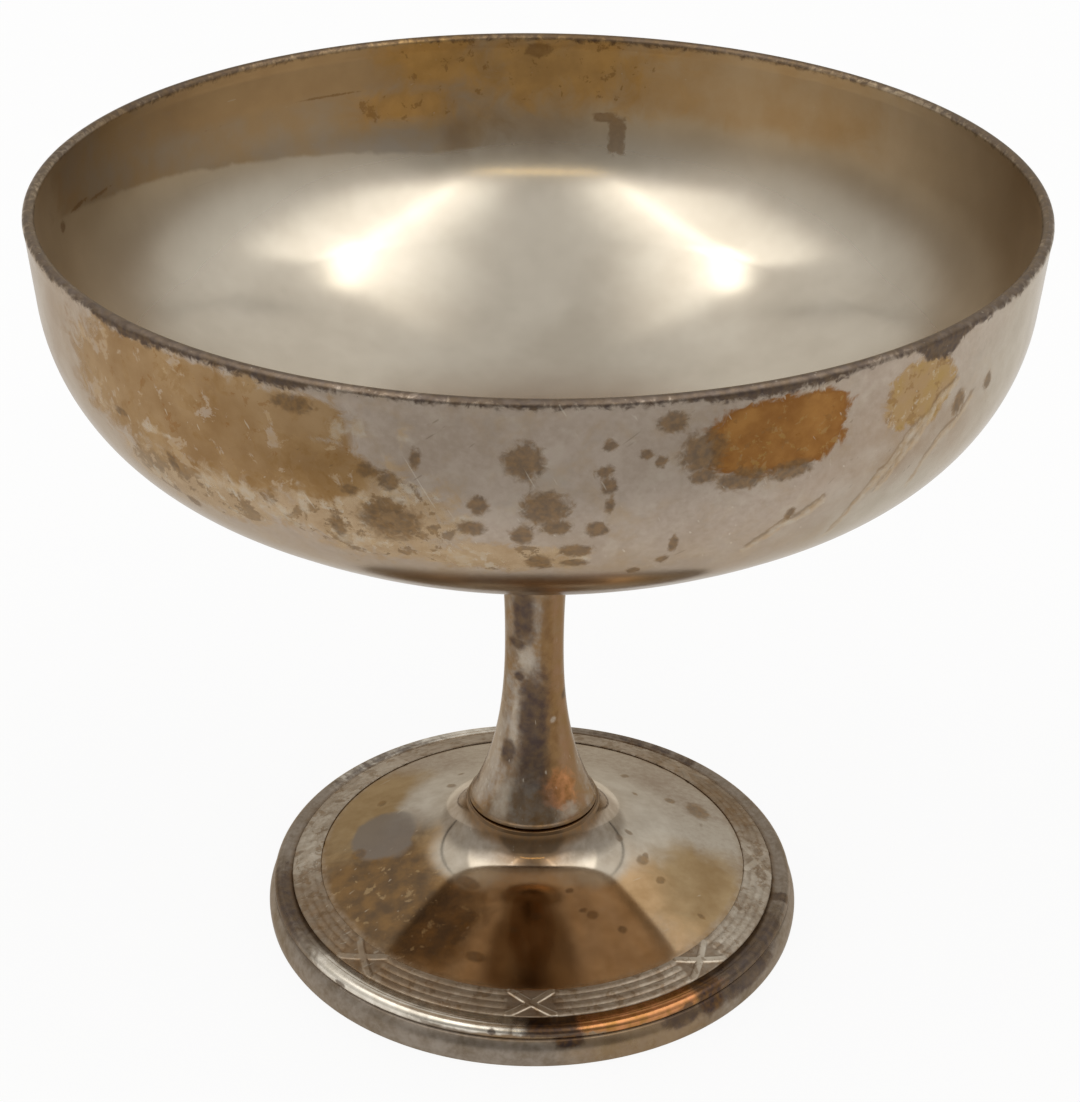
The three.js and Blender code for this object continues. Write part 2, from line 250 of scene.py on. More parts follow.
class StageSizes(bpy.types.PropertyGroup):
    """The camera, the floor and the lamps."""

    camera_back: length("Camera back", "Camera in front of the axis", 219.5 * MM)
    camera_height: length("Camera height", "Camera above the table", 164.6 * MM)
    camera_pitch: turn("Camera pitch", "Downward tilt", 28.91)
    camera_roll: turn("Camera roll", "Turn about the line of sight", 0.52)
    image_width: count("Image width", "Photograph's width in pixels", 1080)
    image_height: count("Image height", "Photograph's height in pixels", 1102)
    focal_pixels: level("Focal length", "Focal length in the photograph's pixels", 2454)
    middle_pixel: level("Middle", "Column that the line of sight crosses", 535.2)
    floor_size: length("Floor size", "Width of the floor", 6.0)
    floor_white: level("Floor white", "Floor behind and beside the bowl", 1.0)
    floor_front: level("Floor front", "Floor far in front of the bowl", 0.5)
    front_near: length("Front near", "Where the floor starts to darken", 45 * MM)
    front_far: length("Front far", "Where the floor is darkest", 150 * MM)
    shadow: share("Shadow", "Share of the floor's look that takes shadows", 0.09)
    mirrored_shadow: share("Mirrored shadow", "The same share, as the metal mirrors it", 0.35)
    sky: level("Sky", "Even light from all round", 0.645)
    glow: level("Glow", "Light of the roof behind the lamps", 0.18)
    shine: level("Shine", "Light of the roof beside the lamps", 0.95)
    shine_inner: level("Shine inner", "Inner edge of the shine, aside over its height", 0.08)
    shine_crest: level("Shine crest", "Where the shine is brightest, aside over its height", 0.41)
    shine_outer: level("Shine outer", "Outer edge of the shine, aside over its height", 1.8)
    shine_end: level("Shine end", "Back edge of the shine, over its height", 0.23)
    opening: level("Opening", "Dim front of the light tent", 0.33)
    opening_top: share("Opening top", "Top of the dim front, as the sine of its height", 0.54)
    opening_low: level("Opening low", "Half width of the dim front at the table, over its distance", 1.3)
    opening_high: level("Opening high", "Half width of the dim front at its top, over its distance", 0.62)
    corner: level("Corner", "Dark corners at the back of the tent", 0.1)
    corner_aside: level("Corner aside", "The corners aside, over their distance", 1.02)
    corner_width: level("Corner width", "Half width of a corner, over its distance", 0.07)
    strip_height: length("Strip height", "Lamps above the table", 0.6)
    strip_aside: share("Strip aside", "Lamps aside, as a share of their height", 0.435)
    strip_near: level("Strip near", "Front end of a lamp, as a share of its height", 1.05)
    strip_far: level("Strip far", "Back end of a lamp, as a share of its height", 0.23)
    strip_width: length("Strip width", "Width of a lamp", 44 * MM)
    strip_level: level("Strip level", "Brightness of a lamp", 0.9)
    core_near: level("Core near", "Front of the bright back end of a lamp, as a share of its height", 0.07)
    core_tail: level("Core tail", "Longer inner half of the bright end, as a share of its height", 0.15)
    core_half: length("Core half", "Half width of the bright end", 38 * MM)
    core_level: level("Core level", "Brightness of the bright end", 2.2)
    tip_length: length("Tip length", "Bright front end of a lamp", 50 * MM)
    tip_level: level("Tip level", "Brightness of the front end", 3.5)
    bar_gap: length("Bar gap", "From the front ends of the lamps to the bar", 70 * MM)
    bar_width: length("Bar width", "Width of the bar between the front ends of the lamps", 22 * MM)
    bar_level: level("Bar level", "Brightness of the bar", 4.0)
    lamp_colour: tint("Lamp colour", "Colour of the lamps", (1, 0.975, 0.93))
    bar_colour: tint("Bar colour", "Colour of the bar", (1, 0.74, 0.3))
    tent_colour: tint("Tent colour", "Colour of the light tent", (1, 0.985, 0.96))
    paper: tint("Paper", "Colour of the floor", (0.86, 0.86, 0.86))
    paper_shade: tint("Paper shade", "Duller parts of the floor", (0.84, 0.84, 0.84))


class DessertBowl(bpy.types.PropertyGroup):
    """All the sizes and colours of the bowl."""

    bowl: bpy.props.PointerProperty(type=BowlSizes, name="Bowl")
    stem: bpy.props.PointerProperty(type=StemSizes, name="Stem")
    foot: bpy.props.PointerProperty(type=FootSizes, name="Foot")
    border: bpy.props.PointerProperty(type=BorderSizes, name="Border")
    rim: bpy.props.PointerProperty(type=RimSizes, name="Rim")
    fastening: bpy.props.PointerProperty(type=FasteningSizes, name="Fastening")
    colours: bpy.props.PointerProperty(type=Colours, name="Colours")
    stage: bpy.props.PointerProperty(type=StageSizes, name="Stage")


# Outlines in the half plane of radius and height


def arc(centre, radius, start, end, steps):
    """Points round a circle from one angle to another: the centre plus radius times cosine and sine."""
    t = np.linspace(start, end, steps + 1)
    return np.stack([centre[0] + radius * np.cos(t), centre[1] + radius * np.sin(t)], axis=-1)


def straight(start, end, steps):
    """Points at even steps on the line from start to end."""
    t = np.linspace(0, 1, steps + 1)[:, None]
    return (1 - t) * np.array(start) + t * np.array(end)


def cubic(a, b, c, d, steps):
    """Points of a cubic curve: a, b, c and d weighted by the binomial terms of t and 1 - t."""
    t = np.linspace(0, 1, steps + 1)[:, None]
    a, b, c, d = (np.array(point) for point in (a, b, c, d))
    return a * (1 - t) ** 3 + 3 * b * t * (1 - t) ** 2 + 3 * c * t**2 * (1 - t) + d * t**3


def joined(*runs):
    """Runs of points one after another, without the point that a run shares with the one before."""
    points = np.concatenate([np.atleast_2d(np.array(run, float)) for run in runs])
    step = np.linalg.norm(np.diff(points, axis=0), axis=1)
    return points[np.concatenate([[True], step > 1e-7])]


# Grids and meshes


def angles(columns):
    """Angles round the axis, 0 at the front and rising towards the right, from the back to the back."""
    return np.linspace(-np.pi, np.pi, columns, endpoint=False)


def spread(radius, around, height):
    """Points round the axis: x = r sin(angle), y = -r cos(angle), z = height."""
    height = np.broadcast_to(height, np.broadcast(radius, around).shape)
    return np.stack([radius * np.sin(around), -radius * np.cos(around), height], axis=-1)


def revolved(outline, columns):
    """The outline carried round the axis: each of its points at every angle."""
    return spread(outline[:, :1], angles(columns), outline[:, 1:])


def places(grid):
    """Each point's angle round the axis, its distance from the axis and its height."""
    around = np.broadcast_to(angles(grid.shape[1]), grid.shape[:2])
    return around, np.hypot(grid[..., 0], grid[..., 1]), grid[..., 2]


def smooth(part):
    """A smooth step from 0 to 1: three times the square less twice the cube."""
    return part * part * (3 - 2 * part)


def wrapped(name, grid, ring, fields=None, finish_of_row=None):
    """A closed mesh through a grid of points whose columns run round the axis.

    Each face joins two neighbouring rows and columns. A ring also joins its last row to its first.
    Otherwise the first and last rows lie on the axis, and each becomes one point. The map of the
    surface has the share of a turn across and the way along the outline, in metres, upwards.
    """
    rows, columns = grid.shape[:2]
    index = np.arange(rows * columns).reshape(rows, columns)
    kept = np.ones(rows * columns, bool)
    if not ring:
        kept[1:columns] = False
        kept[(rows - 1) * columns + 1:] = False
        index[0] = 0
        index[-1] = (rows - 1) * columns
    renumber = np.cumsum(kept) - 1
    index = renumber[index]
    closed = np.concatenate([grid, grid[:1]]) if ring else grid
    way = np.linalg.norm(np.diff(closed[:, 0], axis=0), axis=1)
    up = np.concatenate([[0], np.cumsum(way)])
    lower = index if ring else index[:-1]
    upper = np.roll(index, -1, axis=0) if ring else index[1:]
    corners = np.stack([lower, np.roll(lower, -1, 1), np.roll(upper, -1, 1), upper], axis=-1)
    across = np.arange(columns) / columns
    u = np.stack([across, across + 1 / columns, across + 1 / columns, across], axis=-1)
    u = np.broadcast_to(u, corners.shape)
    v = np.stack([up[:-1], up[:-1], up[1:], up[1:]], axis=-1)[:, None]
    v = np.broadcast_to(v, corners.shape)
    uv = np.stack([u, v], axis=-1)
    bands = [(corners[i], uv[i]) for i in range(len(corners))]
    if not ring:
        bands[0] = (np.delete(corners[0], 1, axis=1), np.delete(uv[0], 1, axis=1))
        bands[-1] = (np.delete(corners[-1], 3, axis=1), np.delete(uv[-1], 3, axis=1))
    mesh = bpy.data.meshes.new(name)
    faces = [face for band, _ in bands for face in band.tolist()]
    mesh.from_pydata(grid.reshape(-1, 3)[kept], [], faces)
    chart = mesh.uv_layers.new(name="Surface")
    flat = np.concatenate([part.reshape(-1) for _, part in bands])
    chart.uv.foreach_set("vector", flat.astype(np.float32))
    mesh.polygons.foreach_set("use_smooth", np.ones(len(faces), bool))
    for field_name, values in (fields or {}).items():
        attribute = mesh.attributes.new(field_name, "FLOAT", "POINT")
        attribute.data.foreach_set("value", values.reshape(-1)[kept].astype(np.float32))
    if finish_of_row is not None:
        mesh.polygons.foreach_set("material_index", np.repeat(finish_of_row[:len(bands)], columns))
    mesh.validate()
    mesh.update()
    piece = bpy.data.objects.new(name, mesh)
    bpy.context.scene.collection.objects.link(piece)
    return piece


def settle(piece, node, slot, *finishes):
    """Gives a piece its finishes, puts it in the place of its node and lets it ride on the body."""
    for finish in finishes:
        piece.data.materials.append(finish)
    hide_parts(node)
    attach(piece, BODY)


# Marks on the plate

Patch = namedtuple("Patch", "angle place around along power", defaults=(2,))


def patches(*rows):
    """Patches from rows of angle, place, half size around, half size along and, where not 2, power."""
    return [Patch(*row) for row in rows]


def stain(around, reach, place, group):
    """How deep each point lies inside the nearest of some patches: 1 in its middle, 0 on its edge.

    Angles are in degrees and the other sizes in millimetres. The distance from a patch's middle is
    measured round the axis at the radius reach and along the outline, each as a share of the
    patch's half size, and a higher power makes the patch squarer.
    """
    field = np.full(np.broadcast(around, reach, place).shape, -1.0)
    for patch in group:
        apart = (around - np.radians(patch.angle) + np.pi) % (2 * np.pi) - np.pi
        sideways = np.abs(apart * reach / (patch.around * MM))
        lengthways = np.abs((place - patch.place * MM) / (patch.along * MM))
        distance = (sideways**patch.power + lengthways**patch.power) ** (1 / patch.power)
        field = np.maximum(field, 1 - distance)
    return field


def stains(around, reach, place, **groups):
    """The stain of each named group of patches."""
    return {name: stain(around, reach, place, group) for name, group in groups.items()}


def strokes(around, reach, place, lines, half):
    """How deep each point lies inside the nearest of some thin strokes: 1 on its middle, 0 on its edge.

    A stroke runs straight from each angle and place of a line to the next, with a half width. The
    distance is that to its nearest point, on the surface rolled out flat at the radius reach.
    """
    across, up = around * reach / MM, place / MM
    field = np.full(np.broadcast(across, up).shape, -1.0)
    for line in lines:
        for (start_angle, start), (end_angle, end) in zip(line, line[1:]):
            left, right = np.radians([start_angle, end_angle]) * reach / MM
            run, rise = right - left, end - start
            part = np.clip(((across - left) * run + (up - start) * rise) / (run**2 + rise**2), 0, 1)
            distance = np.hypot(across - left - part * run, up - start - part * rise)
            field = np.maximum(field, 1 - distance / half)
    return field


def tide(around, height, line, fade):
    """How far each point lies above a tide line, as a share of fade and at most 1 either way.

    The line is given as heights in millimetres at angles in degrees, with straight runs between.
    """
    turns, heights = np.array(line, float).T
    edge = np.interp(np.degrees(around), turns, heights, period=360) * MM
    return np.clip((height - edge) / (fade * MM), -1, 1)


def scattered(seed, number, turns, span, sizes):
    """Small patches at random angles and places, the same each time for the same seed."""
    draw = np.random.default_rng(seed)
    limits = (turns, span, sizes, sizes)
    return [Patch(*(draw.uniform(*pair) for pair in limits)) for _ in range(number)]


# Finishes


class Nodes:
    """The shader nodes of a finish or of the light tent, added by plain calls."""

    def __init__(self, tree):
        self.tree = tree

    def add(self, kind, **settings):
        """A node of one kind with its settings."""
        node = self.tree.nodes.new(kind)
        for key, value in settings.items():
            setattr(node, key, value)
        return node

    def feed(self, socket, value):
        """Gives a socket a link or a plain value."""
        if isinstance(value, bpy.types.NodeSocket):
            self.tree.links.new(value, socket)
        elif hasattr(socket.default_value, "__len__") and len(socket.default_value) == 4:
            socket.default_value = (*value, 1)
        else:
            socket.default_value = value

    def number(self, operation, *values):
        """A sum on numbers."""
        node = self.add("ShaderNodeMath", operation=operation)
        for socket, value in zip(node.inputs, values):
            self.feed(socket, value)
        return node.outputs[0]

    def mix(self, share, first, second):
        """A colour between two."""
        node = self.add("ShaderNodeMix", data_type="RGBA")
        self.feed(node.inputs[0], share)
        self.feed(node.inputs[6], first)
        self.feed(node.inputs[7], second)
        return node.outputs[2]

    def blend(self, share, first, second):
        """A number between two."""
        node = self.add("ShaderNodeMix", data_type="FLOAT")
        self.feed(node.inputs[0], share)
        self.feed(node.inputs[2], first)
        self.feed(node.inputs[3], second)
        return node.outputs[0]

    def range(self, value, low, high, to_low, to_high, kind="LINEAR"):
        """A number carried from one range to another, and held at its ends."""
        node = self.add("ShaderNodeMapRange", interpolation_type=kind)
        for socket, number in zip(node.inputs, (value, low, high, to_low, to_high)):
            self.feed(socket, number)
        return node.outputs[0]

    def step(self, value, low, high):
        """A smooth step from 0 at low to 1 at high."""
        return self.range(value, low, high, 0, 1, "SMOOTHSTEP")

    def less(self, share):
        """What is left of 1."""
        return self.number("SUBTRACT", 1, share)


class Plate(Nodes):
    """A finish in the making: a ground of plated metal, and coats laid over it one after another."""

    grain_share = 0.35
    grain_height = 0.1
    tone_range = (0.32, 0.66)
    cloud_range = (0.3, 0.7)
    rough_range = (0.8, 1.25)
    mottle_range = (0.28, 0.72)
    lathe_line = 0.25
    lathe_shade = (0.05, 0.04, 0.03)
    scratch_edge = 0.05
    scratch_depth = 0.3

    def __init__(self, name, light, dark, roughness, cloud=14, grain=0.6, edge=(0.74, 0.66, 0.57)):
        self.material = bpy.data.materials.new(name)
        self.material.use_nodes = True
        super().__init__(self.material.node_tree)
        self.shader = self.tree.nodes["Principled BSDF"]
        self.shader.inputs["Metallic"].default_value = 1
        self.shader.inputs["Specular Tint"].default_value = (*edge, 1)
        coordinates = self.add("ShaderNodeTexCoord")
        self.object_place = coordinates.outputs["Object"]
        self.chart = coordinates.outputs["UV"]
        clouds = self.noise(cloud, detail=6)
        grains = self.noise(grain, detail=3)
        tone = self.number("MULTIPLY", clouds, 1 - self.grain_share)
        tone = self.number("MULTIPLY_ADD", grains, self.grain_share, tone)
        self.colour = self.mix(self.step(tone, *self.tone_range), dark, light)
        low, high = (roughness * part for part in self.rough_range)
        self.roughness = self.range(clouds, *self.cloud_range, low, high)
        self.height = self.number("MULTIPLY", grains, self.grain_height)

    def stretched(self, source, scale, rotation=(0, 0, 0)):
        """A place with its axes turned and stretched."""
        node = self.add("ShaderNodeMapping")
        self.feed(node.inputs["Vector"], source)
        node.inputs["Rotation"].default_value = rotation
        node.inputs["Scale"].default_value = scale
        return node.outputs[0]

    def noise(self, size, detail=4, distortion=0.0, source=None, roughness=0.55):
        """Cloudy noise with features of about a size in millimetres."""
        node = self.add("ShaderNodeTexNoise")
        self.feed(node.inputs["Vector"], source or self.object_place)
        node.inputs["Scale"].default_value = 1 / (size * MM)
        node.inputs["Detail"].default_value = detail
        node.inputs["Roughness"].default_value = roughness
        node.inputs["Distortion"].default_value = distortion
        return node.outputs[0]

    def field(self, name):
        """A field that the mesh carries."""
        return self.add("ShaderNodeAttribute", attribute_name=name).outputs["Fac"]

    def coat(
        self, value, light, dark, size=3, ragged=0.5, soft=0.12, roughness=0.3, cover=1, mottle=0, outline=0
    ):
        """A coat over what is there, where a field is above 0: mottled between two colours.

        Noise of a size makes its edge ragged, and soft is half the depth over which it fades. Mottle is
        the size of its clouds. An outline is how deep inside the edge the coat stays dark.
        """
        field = self.field(value) if isinstance(value, str) else value
        wander = self.number("SUBTRACT", self.noise(size, 6, 0.8, roughness=0.62), 0.5)
        field = self.number("MULTIPLY_ADD", wander, 2 * ragged, field)
        mask = self.number("MULTIPLY", self.step(field, -soft, soft), cover)
        tone = self.step(self.noise(mottle or size * 0.7, 5), *self.mottle_range)
        if outline:
            tone = self.number("MULTIPLY", tone, self.step(field, 0, outline))
        self.colour = self.mix(mask, self.colour, self.mix(tone, dark, light))
        self.roughness = self.blend(mask, self.roughness, roughness)

    def flecks(self, within, size, share, light, dark, cover=0.8):
        """Small flakes inside a field, where noise of a size is above a share."""
        flake = self.number("SUBTRACT", self.noise(size, 6, 0.3, roughness=0.7), share)
        inside = self.number("MINIMUM", flake, self.field(within))
        self.coat(inside, light, dark, size=size / 2, ragged=0.03, soft=0.02, cover=cover)

    def haze(self, value, roughness):
        """A rougher surface where a field is above 0, and nothing else."""
        self.roughness = self.blend(self.step(self.field(value), -1, 1), self.roughness, roughness)

    def spun(self, depth, tone=0.0):
        """Fine lines round the axis, left by the lathe."""
        place = self.stretched(self.chart, (2.5, 1, 1))
        fine = self.noise(self.lathe_line, source=place)
        self.height = self.number("MULTIPLY_ADD", fine, depth, self.height)
        if tone:
            tone = self.range(fine, *self.cloud_range, tone, 0)
            self.colour = self.mix(tone, self.colour, self.lathe_shade)

    def scratches(self, width, length, rotation, share, shade, cover):
        """Short straight scratches, where noise stretched along one way is above a share."""
        turned = self.stretched(self.object_place, (1, 1, 1), rotation)
        place = self.stretched(turned, (1, width / length, 1))
        line = self.step(self.noise(3 * width, 1, source=place), share, share + self.scratch_edge)
        line = self.number("MULTIPLY", line, cover)
        self.colour = self.mix(line, self.colour, shade)
        self.height = self.number("MULTIPLY_ADD", line, -self.scratch_depth, self.height)

    def done(self, bump=0.15, depth=0.05):
        """Links the colour, the roughness and the bump to the shader."""
        self.feed(self.shader.inputs["Base Color"], self.colour)
        self.feed(self.shader.inputs["Roughness"], self.roughness)
        node = self.add("ShaderNodeBump")
        node.inputs["Strength"].default_value = bump
        node.inputs["Distance"].default_value = depth * MM
        self.feed(node.inputs["Height"], self.height)
        self.feed(self.shader.inputs["Normal"], node.outputs[0])
        return self.material


def settings():
    """The sizes and colours that the scene holds."""
    return bpy.context.scene.dessert_bowl


# Bowl

BOWL_AMBER = patches(
    (-38, 77, 15.5, 5.6, 3), (-24, 79.6, 4.5, 2.2, 3), (-22, 75, 5, 3, 2), (112, 76, 9, 4.5, 3),
    (-128, 77.5, 12, 4, 3), (172, 74, 7, 5, 2),
)
BOWL_BARE = patches(
    (-19.4, 79, 0.7, 1), (-17.2, 79.4, 0.6, 0.8), (-43, 73.8, 1.7, 0.35), (-52, 73.6, 1, 0.4),
    (-35, 70.6, 2, 0.6), (-17.2, 70.6, 0.5, 1.4), (-19, 68, 1.8, 0.7), (-24, 71.5, 0.5, 1.3),
    (-28, 69.6, 1.7, 0.8), (-7, 71.9, 0.7, 0.4), (4.8, 67.6, 0.7, 0.4), (2.6, 73.2, 0.4, 0.5),
    (26.8, 69.3, 0.3, 0.9), (-12.8, 79.3, 0.5, 0.8),
)
BOWL_RUST = patches((24.5, 78.2, 6.2, 3.4, 4))
BOWL_STRAW = patches((42, 78.2, 4.4, 3.2, 2.5), (150, 79, 4, 2.4), (-86, 79, 3.4, 2.2))
# Film and painted shade at the sides: it dims the bright floor mirrored near the edges.
BOWL_SIDE_FILM_AND_SHADE = patches((-78, 75, 19, 12), (42, 71, 10, 7), (100, 74, 16, 8), (-140, 72, 20, 7))
BOWL_MOTTLE = patches(
    (-18, 71.2, 8.5, 4.8), (-4, 67.6, 7, 1.7), (-38, 69.6, 9, 3), (96, 71, 9, 3.5), (-150, 70, 11, 4),
)
BOWL_SPOTS = patches(
    (-14.6, 71, 2.7, 2), (-14.4, 75, 0.9, 0.9), (-16.5, 75.7, 0.9, 0.7), (-18.5, 73.6, 0.9, 0.5),
    (-20.5, 69.4, 0.7, 1.3), (-24, 80.7, 2, 0.8), (-48.5, 73.9, 1.2, 0.4), (-41, 71, 0.7, 1),
    (-11.6, 77.3, 0.5, 1), (-1.2, 77.6, 1.6, 1.7), (13, 80.7, 1.3, 0.9), (16.2, 77.7, 1.9, 1.9),
    (16.4, 75.3, 1.3, 0.6), (20.5, 74.6, 2.2, 1), (26, 74.6, 2, 0.9), (7, 79, 0.6, 0.6),
    (6.6, 76.6, 0.8, 0.6), (7, 75.2, 0.7, 0.9), (7.2, 73.4, 0.4, 1), (10.6, 78, 0.6, 0.5),
    (12, 77.2, 0.5, 0.6), (-5.6, 73.4, 0.9, 0.9), (1, 73.2, 2, 1.7), (2, 71.3, 1.3, 0.8),
    (-1.4, 70.4, 1, 1), (6.1, 71, 1, 0.8), (-6.4, 71, 1.2, 0.8), (4.1, 68.6, 1.5, 0.7), (4.1, 67, 1.2, 0.5),
    (0.4, 67.2, 1.2, 0.9), (14.2, 68.6, 0.5, 1), (13.4, 66.7, 0.6, 0.5), (10.6, 65.4, 0.6, 0.4),
    (-41, 66.5, 0.8, 0.6), (26.9, 69.9, 0.5, 0.7), (49, 75.4, 0.9, 1.2), (55, 75.5, 0.8, 0.8),
) + scattered(11, 46, (70, 290), (62, 81), (0.5, 1.7))
BOWL_FROST = patches((72, 74, 17, 10, 3), (47, 65.5, 13, 4.5, 3), (-150, 66, 16, 4))
BOWL_CRACKS = [
    [(48, 77.6), (45, 76.6), (42.6, 74.8), (41.4, 74.6), (38.6, 71.6), (37.8, 71.4), (35.4, 68), (34.4, 65)],
    [(44.6, 76), (42.4, 73.6), (40.6, 72.6), (38.6, 69.6)],
    [(51.5, 75), (49.6, 73.4), (47, 72.6), (45, 70.6), (44.4, 68.4)],
    [(30.6, 70.4), (28.4, 69), (26.4, 68.6), (23, 66.2)],
]
LIP_LINE = [
    (-75, 82.6), (-52, 82.6), (-46, 81.9), (-40, 82.1), (-34, 82.4), (-25, 81.9), (-20, 82.6), (-9, 82.6),
    (0, 82.4), (9, 82.5), (14, 82.6), (18, 82), (25, 82), (30, 82.2), (34, 82.7), (40, 82.6), (42, 81.2),
    (46, 80.6), (48.5, 82.4), (65, 82.6), (110, 82.5), (125, 82.8), (160, 82.3), (200, 82.7), (235, 82.4),
    (255, 82.8),
]
BOTTOM_LINE = [(0, -21)]
# Yellowish film and painted shade: darker towards the base of the outside.
BASE_FILM_AND_SHADE_LINE = [(0, -68)]
# Wear and painted highlight: a lighter line along the very top of the lip.
CREST_HIGHLIGHT_LINE = [(0, 82.7)]
TAN_LINE = [
    (165, 71.6), (180, 71), (195, 70.2), (205, 71), (215, 71.9), (225, 72.7), (235, 73.8), (245, 74.7),
    (256, 76), (275, 79),
]
TAN_SPAN = patches((226, 77, 33, 40, 4))
FILM_LINE = [
    (-80, 80), (0, 80), (60, 79), (90, 76), (120, 73), (150, 71.5), (180, 71), (200, 71.5), (230, 75),
    (262, 79),
]
INSIDE_TAN = patches((150, 79, 17, 4.5, 4), (218, 80.4, 19, 2.8, 4))
INSIDE_GOLD = patches((194, 80.5, 6, 3.4, 3), (177, 79.6, 11, 4, 4), (199, 75.8, 6, 2, 3))
INSIDE_SHADE = patches((191.5, 71.8, 1.6, 2.4, 3), (181, 72.4, 6.5, 2.2, 3))
# Painted reflection: a dark patch on the inside bottom, near the back.
INSIDE_PAINTED_REFLECTION = patches((167, 13.4, 3.6, 1.9, 3))
HAZE_LINE = [
    (-90, 63), (-60, 66), (60, 66), (90, 63), (120, 64), (150, 69), (180, 71.5), (210, 69), (240, 64),
]
INSIDE_MARKS = patches(
    (169, 72.1, 1, 2.1, 6), (170.8, 73.9, 1.3, 0.5, 4), (252, 76, 3, 0.25), (258, 76.6, 2.4, 0.25),
    (264, 76.3, 0.8, 0.6), (180, 81.2, 1.7, 0.8), (210, 77.7, 5, 0.2), (228, 77.5, 4, 0.2),
)


def bowl_outline(size):
    """Up the outside and down the inside: base arc, knuckle arc, leaning wall and round lip.

    The inside is the outside moved in by the wall, and the base meets the knuckle with one tangent.
    """
    lean = size.wall_lean
    end = size.knuckle_end
    foot_height = size.rim_height - size.wall_height
    foot_radius = size.rim_radius - size.wall_height * np.tan(lean)
    knuckle = (
        foot_radius - size.knuckle_radius * np.cos(lean),
        foot_height + size.knuckle_radius * np.sin(lean),
    )
    turned_radius = knuckle[0] + size.knuckle_radius * np.cos(end)
    turned_height = knuckle[1] - size.knuckle_radius * np.sin(end)
    base_radius = (turned_radius - size.flat_radius) / np.cos(end)
    base = (size.flat_radius, turned_height + base_radius * np.sin(end))
    lip_radius = size.wall / 2 + size.lip_swell
    lip = (size.rim_radius - lip_radius, size.rim_height - lip_radius)
    lip_foot = size.rim_height - size.lip_height

    def face(depth):
        flat = base[1] - base_radius + depth
        wall = size.rim_radius - size.lip_height * np.tan(lean) - depth / np.cos(lean)
        bent = arc(knuckle, size.knuckle_radius - depth, -end, -lean, steps=38)
        return joined(
            straight((0, flat), (base[0], flat), steps=2),
            arc(base, base_radius - depth, -np.pi / 2, -end, steps=18),
            bent,
            straight(bent[-1], (wall, lip_foot), steps=12),
        )

    over = arc(lip, lip_radius, 0, np.pi, steps=12)
    return joined(face(0), over, face(size.wall)[::-1])


class DESSERT_OT_bowl(bpy.types.Operator):
    """Makes the spun bowl, with its tarnished outside and its film of brown inside"""

    bl_idname = "dessert_bowl.bowl"
    bl_label = "Bowl"

    def execute(self, context):
        size = settings().bowl
        outline = bowl_outline(size)
        grid = revolved(outline, BOWL_COLUMNS)
        around, radius, height = places(grid)
        reach = size.rim_radius
        shadow_drop = 0.5 * MM
        fields = stains(
            around, reach, height, amber=BOWL_AMBER, rust=BOWL_RUST, straw=BOWL_STRAW, bare=BOWL_BARE,
            frost=BOWL_FROST, sides=BOWL_SIDE_FILM_AND_SHADE, mottle=BOWL_MOTTLE, spots=BOWL_SPOTS, span=TAN_SPAN,
            blond=INSIDE_TAN, shade=INSIDE_SHADE, gold=INSIDE_GOLD, marks=INSIDE_MARKS,
        )
        fields["cracks"] = strokes(around, reach, height, BOWL_CRACKS, 0.4)
        fields["shadows"] = strokes(around, reach, height - shadow_drop, BOWL_CRACKS, 0.3)
        # Painted reflection on the inside bottom.
        fields["painted_reflection"] = stain(around, radius, radius, INSIDE_PAINTED_REFLECTION)
        fields["tan"] = np.minimum(tide(around, height, TAN_LINE, 3), fields.pop("span"))
        fields["film"] = tide(around, height, FILM_LINE, 9)
        fields["wall"] = tide(around, height, HAZE_LINE, 4)
        fields["lip"] = tide(around, height, LIP_LINE, 1.2)
        # Wear and painted highlight on the lip's top.
        fields["crest"] = tide(around, height, CREST_HIGHLIGHT_LINE, 0.3)
        # Yellowish film and painted shade towards the base.
        fields["base"] = tide(around, -height, BASE_FILM_AND_SHADE_LINE, 6)
        fields["bottom"] = tide(around, -radius, BOTTOM_LINE, 6)
        crest = int(np.argmax(outline[:, 1]))
        inside = (np.arange(len(outline)) >= crest).astype(np.int32)
        piece = wrapped("bowl", grid, False, fields, inside)
        settle(piece, "bowl_shell", "bowl_plate", bowl_outside(), bowl_inside())
        return {"FINISHED"}


